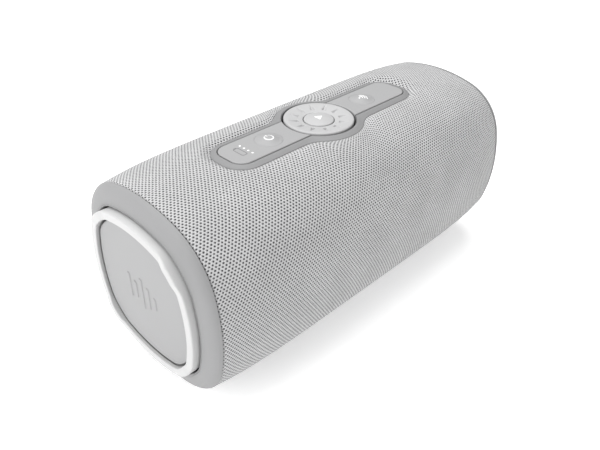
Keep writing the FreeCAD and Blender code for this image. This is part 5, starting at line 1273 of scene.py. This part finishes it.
class SPEAKER_OT_port(bpy.types.Operator):
    """Adds the port's bezel and its hinged cover at the back"""

    bl_idname = "speaker.port"
    bl_label = "Port"

    def execute(self, context):
        port = context.scene.speaker_port
        floor = PORT_FACE - port.pocket_depth
        pocket_corner = 0.75 * MM
        outside = rectangle_loop(port.half_length, port.half_height, port.corner)
        pocket = rectangle_loop(port.pocket_length, port.pocket_height, pocket_corner)
        socket = rectangle_loop(4.6 * MM, 1.75 * MM, 1.7 * MM)
        width = port.half_length - port.pocket_length
        path = rounded_path([(0.0, PORT_BACK + 0.4 * MM), (0.0, PORT_FACE), (width, PORT_FACE),
                             (width, floor)], [0.6 * MM, 0.35 * MM])
        part = (path[:, 0] / width)[:, None, None]
        flat = outside[None] + (pocket - outside)[None] * part
        frame_loops = stack(flat[..., 0], path[:, 1:], AXIS_HEIGHT + flat[..., 1])
        inner = np.array([[0.02, floor], [0.96, floor], [1.0, floor - 0.15 * MM],
                          [1.0, PORT_BACK + 0.5 * MM]])
        flat = pocket[None] + (socket - pocket)[None] * inner[:, :1, None]
        floor_loops = stack(flat[..., 0], inner[:, 1:], AXIS_HEIGHT + flat[..., 1])
        add_sweep("port_bezel_frame", np.concatenate([frame_loops, floor_loops]), FINISH["bezel_plastic"],
                  "speaker_body", ["port_bezel"], inside=(0.0, PORT_BACK, AXIS_HEIGHT))
        self.add_cover(port)
        return {"FINISHED"}

    def add_cover(self, port):
        """The cover's leaf with a crowned face and a finger scoop, and its round hinge knuckle."""
        low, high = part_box("port_cover")
        pin_low, pin_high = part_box("port_hinge_pin")
        axis_y, axis_z = (pin_low[1] + pin_high[1]) / 2, (pin_low[2] + pin_high[2]) / 2
        back, face = axis_y - 0.2 * MM, high[1]
        half_long, half_high = high[0], (high[2] - axis_z) / 2
        mid_z = axis_z + half_high
        gap, rounding = 0.4 * MM, 0.45 * MM
        x = (2 * eased(90) - 1)[:, None] * np.ones(40) * half_long
        z = (2 * eased(40) - 1)[None, :] * np.ones((90, 1)) * half_high
        corner_in = np.maximum(np.abs(z) - half_high + gap, 0)
        x = x * (half_long - gap + np.sqrt(gap ** 2 - corner_in ** 2)) / half_long
        to_edge = np.clip(-rectangle_distance(x, z, half_long, half_high, gap), 0, rounding)
        front = face - rounding + np.sqrt(rounding ** 2 - (rounding - to_edge) ** 2)
        scoop = np.exp(-(x / (4.2 * MM)) ** 4) * smooth_step(z, half_high - 2.6 * MM, half_high - 1.2 * MM)
        front = front - 0.55 * MM * scoop
        points = np.stack([x, front, mid_z + z], -1)
        skirt = skirted(points, 1, back)
        quads = grid_quads(*skirt.shape[:2])
        rear = skirt.copy()
        rear[..., 1] = back
        rear_quads = quads[:, ::-1] + skirt.shape[0] * skirt.shape[1]
        knuckle_radius = axis_z - low[2]
        knuckle_half = 11 * MM
        knuckle = rounded_path([(-knuckle_half, 0.0), (-knuckle_half, knuckle_radius),
                                (knuckle_half, knuckle_radius), (knuckle_half, 0.0)], [0.25 * MM, 0.25 * MM])
        angle = round_angles(48)
        barrel = stack(knuckle[:, :1], axis_y + knuckle[:, 1:] * np.cos(angle),
                       axis_z + knuckle[:, 1:] * np.sin(angle))
        start = skirt.shape[0] * skirt.shape[1] * 2
        barrel_quads = grid_quads(*barrel.shape[:2], wrap_columns=True) + start
        add_piece("port_cover_leaf", np.vstack([skirt.reshape(-1, 3), rear.reshape(-1, 3),
                                                barrel.reshape(-1, 3)]),
                  np.vstack([quads, rear_quads, barrel_quads]), FINISH["cover_rubber"], "cover",
                  ["port_cover"])


class SPEAKER_OT_base_foot(bpy.types.Operator):
    """Adds the ribbed rubber foot under the body"""

    bl_idname = "speaker.base_foot"
    bl_label = "Base foot"

    def execute(self, context):
        port = context.scene.speaker_port
        rounding = 1.0 * MM
        across = (2 * eased(150) - 1)[None, :] * port.foot_width
        corner_in = np.maximum(np.abs(across) - port.foot_width + port.foot_corner, 0)
        half = port.foot_length - port.foot_corner + np.sqrt(port.foot_corner ** 2 - corner_in ** 2)
        x = (2 * eased(120) - 1)[:, None] * half
        y = np.broadcast_to(across, x.shape)
        inward = -rectangle_distance(x, y, port.foot_length, port.foot_width, port.foot_corner)
        to_edge = np.clip(inward, 0, rounding)
        level = rounding - np.sqrt(rounding ** 2 - (rounding - to_edge) ** 2)
        field = smooth_step(inward, 2.6 * MM, 3.6 * MM)
        wave = 0.5 - 0.5 * np.cos(2 * np.pi * y / port.rib_pitch)
        level = level + port.rib_depth * field * smooth_step(wave, 0.35, 0.65)
        points = np.stack([x, y, level], -1)
        skirt = skirted(points, 2, FOOT_TOP - 0.6 * MM)
        add_piece("base_foot_ribbed", skirt, grid_quads(*skirt.shape[:2]), FINISH["foot_rubber"],
                  "speaker_body", ["base_foot"], inside=(0.0, 0.0, AXIS_HEIGHT))
        return {"FINISHED"}


class SPEAKER_OT_inner_parts(bpy.types.Operator):
    """Gives every carried-over CAD piece its finish, by its material slot"""

    bl_idname = "speaker.inner_parts"
    bl_label = "Inner parts"

    def execute(self, context):
        for part in frame["record"]["subparts"]:
            piece = frame["nodes"][part["node"]]
            slot = part["material_slot"]
            if slot != "woven_fabric":
                piece.data.materials.clear()
                piece.data.materials.append(FINISH[slot])
        return {"FINISHED"}


class SPEAKER_OT_finishes(bpy.types.Operator):
    """Builds the node materials that the pieces use"""

    bl_idname = "speaker.finishes"
    bl_label = "Finishes"

    def execute(self, context):
        make_finishes(context.scene.speaker_colours)
        return {"FINISHED"}


# ---------------------------------------------------------------- panel and registration

OPERATORS = (SPEAKER_OT_stage, SPEAKER_OT_finishes, SPEAKER_OT_sleeve, SPEAKER_OT_bumpers,
             SPEAKER_OT_foot_rings, SPEAKER_OT_radiators, SPEAKER_OT_module, SPEAKER_OT_dial,
             SPEAKER_OT_keys, SPEAKER_OT_marks, SPEAKER_OT_port, SPEAKER_OT_base_foot,
             SPEAKER_OT_inner_parts)

SETTINGS = (("speaker_body", BodySizes), ("speaker_ends", EndSizes), ("speaker_module", ModuleSizes),
            ("speaker_port", PortSizes), ("speaker_colours", Colours), ("speaker_stage", StageSettings))


class SPEAKER_PT_panel(bpy.types.Panel):
    """Lists the steps that build the speaker"""

    bl_idname = "SPEAKER_PT_panel"
    bl_label = "Portable speaker"
    bl_space_type = "VIEW_3D"
    bl_region_type = "UI"
    bl_category = "Speaker"

    def draw(self, context):
        for operator in OPERATORS:
            self.layout.operator(operator.bl_idname)
        for name, group in SETTINGS:
            settings = getattr(context.scene, name)
            box = self.layout.box()
            for key in group.__annotations__:
                box.prop(settings, key)


def register():
    """Registers the classes and hangs the settings on the scene."""
    for name, group in SETTINGS:
        bpy.utils.register_class(group)
        setattr(bpy.types.Scene, name, bpy.props.PointerProperty(type=group))
    for operator in OPERATORS:
        bpy.utils.register_class(operator)
    bpy.utils.register_class(SPEAKER_PT_panel)


def unregister():
    """Takes the classes and the settings away again."""
    bpy.utils.unregister_class(SPEAKER_PT_panel)
    for operator in reversed(OPERATORS):
        bpy.utils.unregister_class(operator)
    for name, group in reversed(SETTINGS):
        delattr(bpy.types.Scene, name)
        bpy.utils.unregister_class(group)


def main():
    register()
    bpy.ops.speaker.stage()
    bpy.ops.speaker.finishes()
    bpy.ops.speaker.sleeve()
    bpy.ops.speaker.bumpers()
    bpy.ops.speaker.foot_rings()
    bpy.ops.speaker.radiators()
    bpy.ops.speaker.module()
    bpy.ops.speaker.dial()
    bpy.ops.speaker.keys()
    bpy.ops.speaker.marks()
    bpy.ops.speaker.port()
    bpy.ops.speaker.base_foot()
    bpy.ops.speaker.inner_parts()


if __name__ == "__main__":
    main()
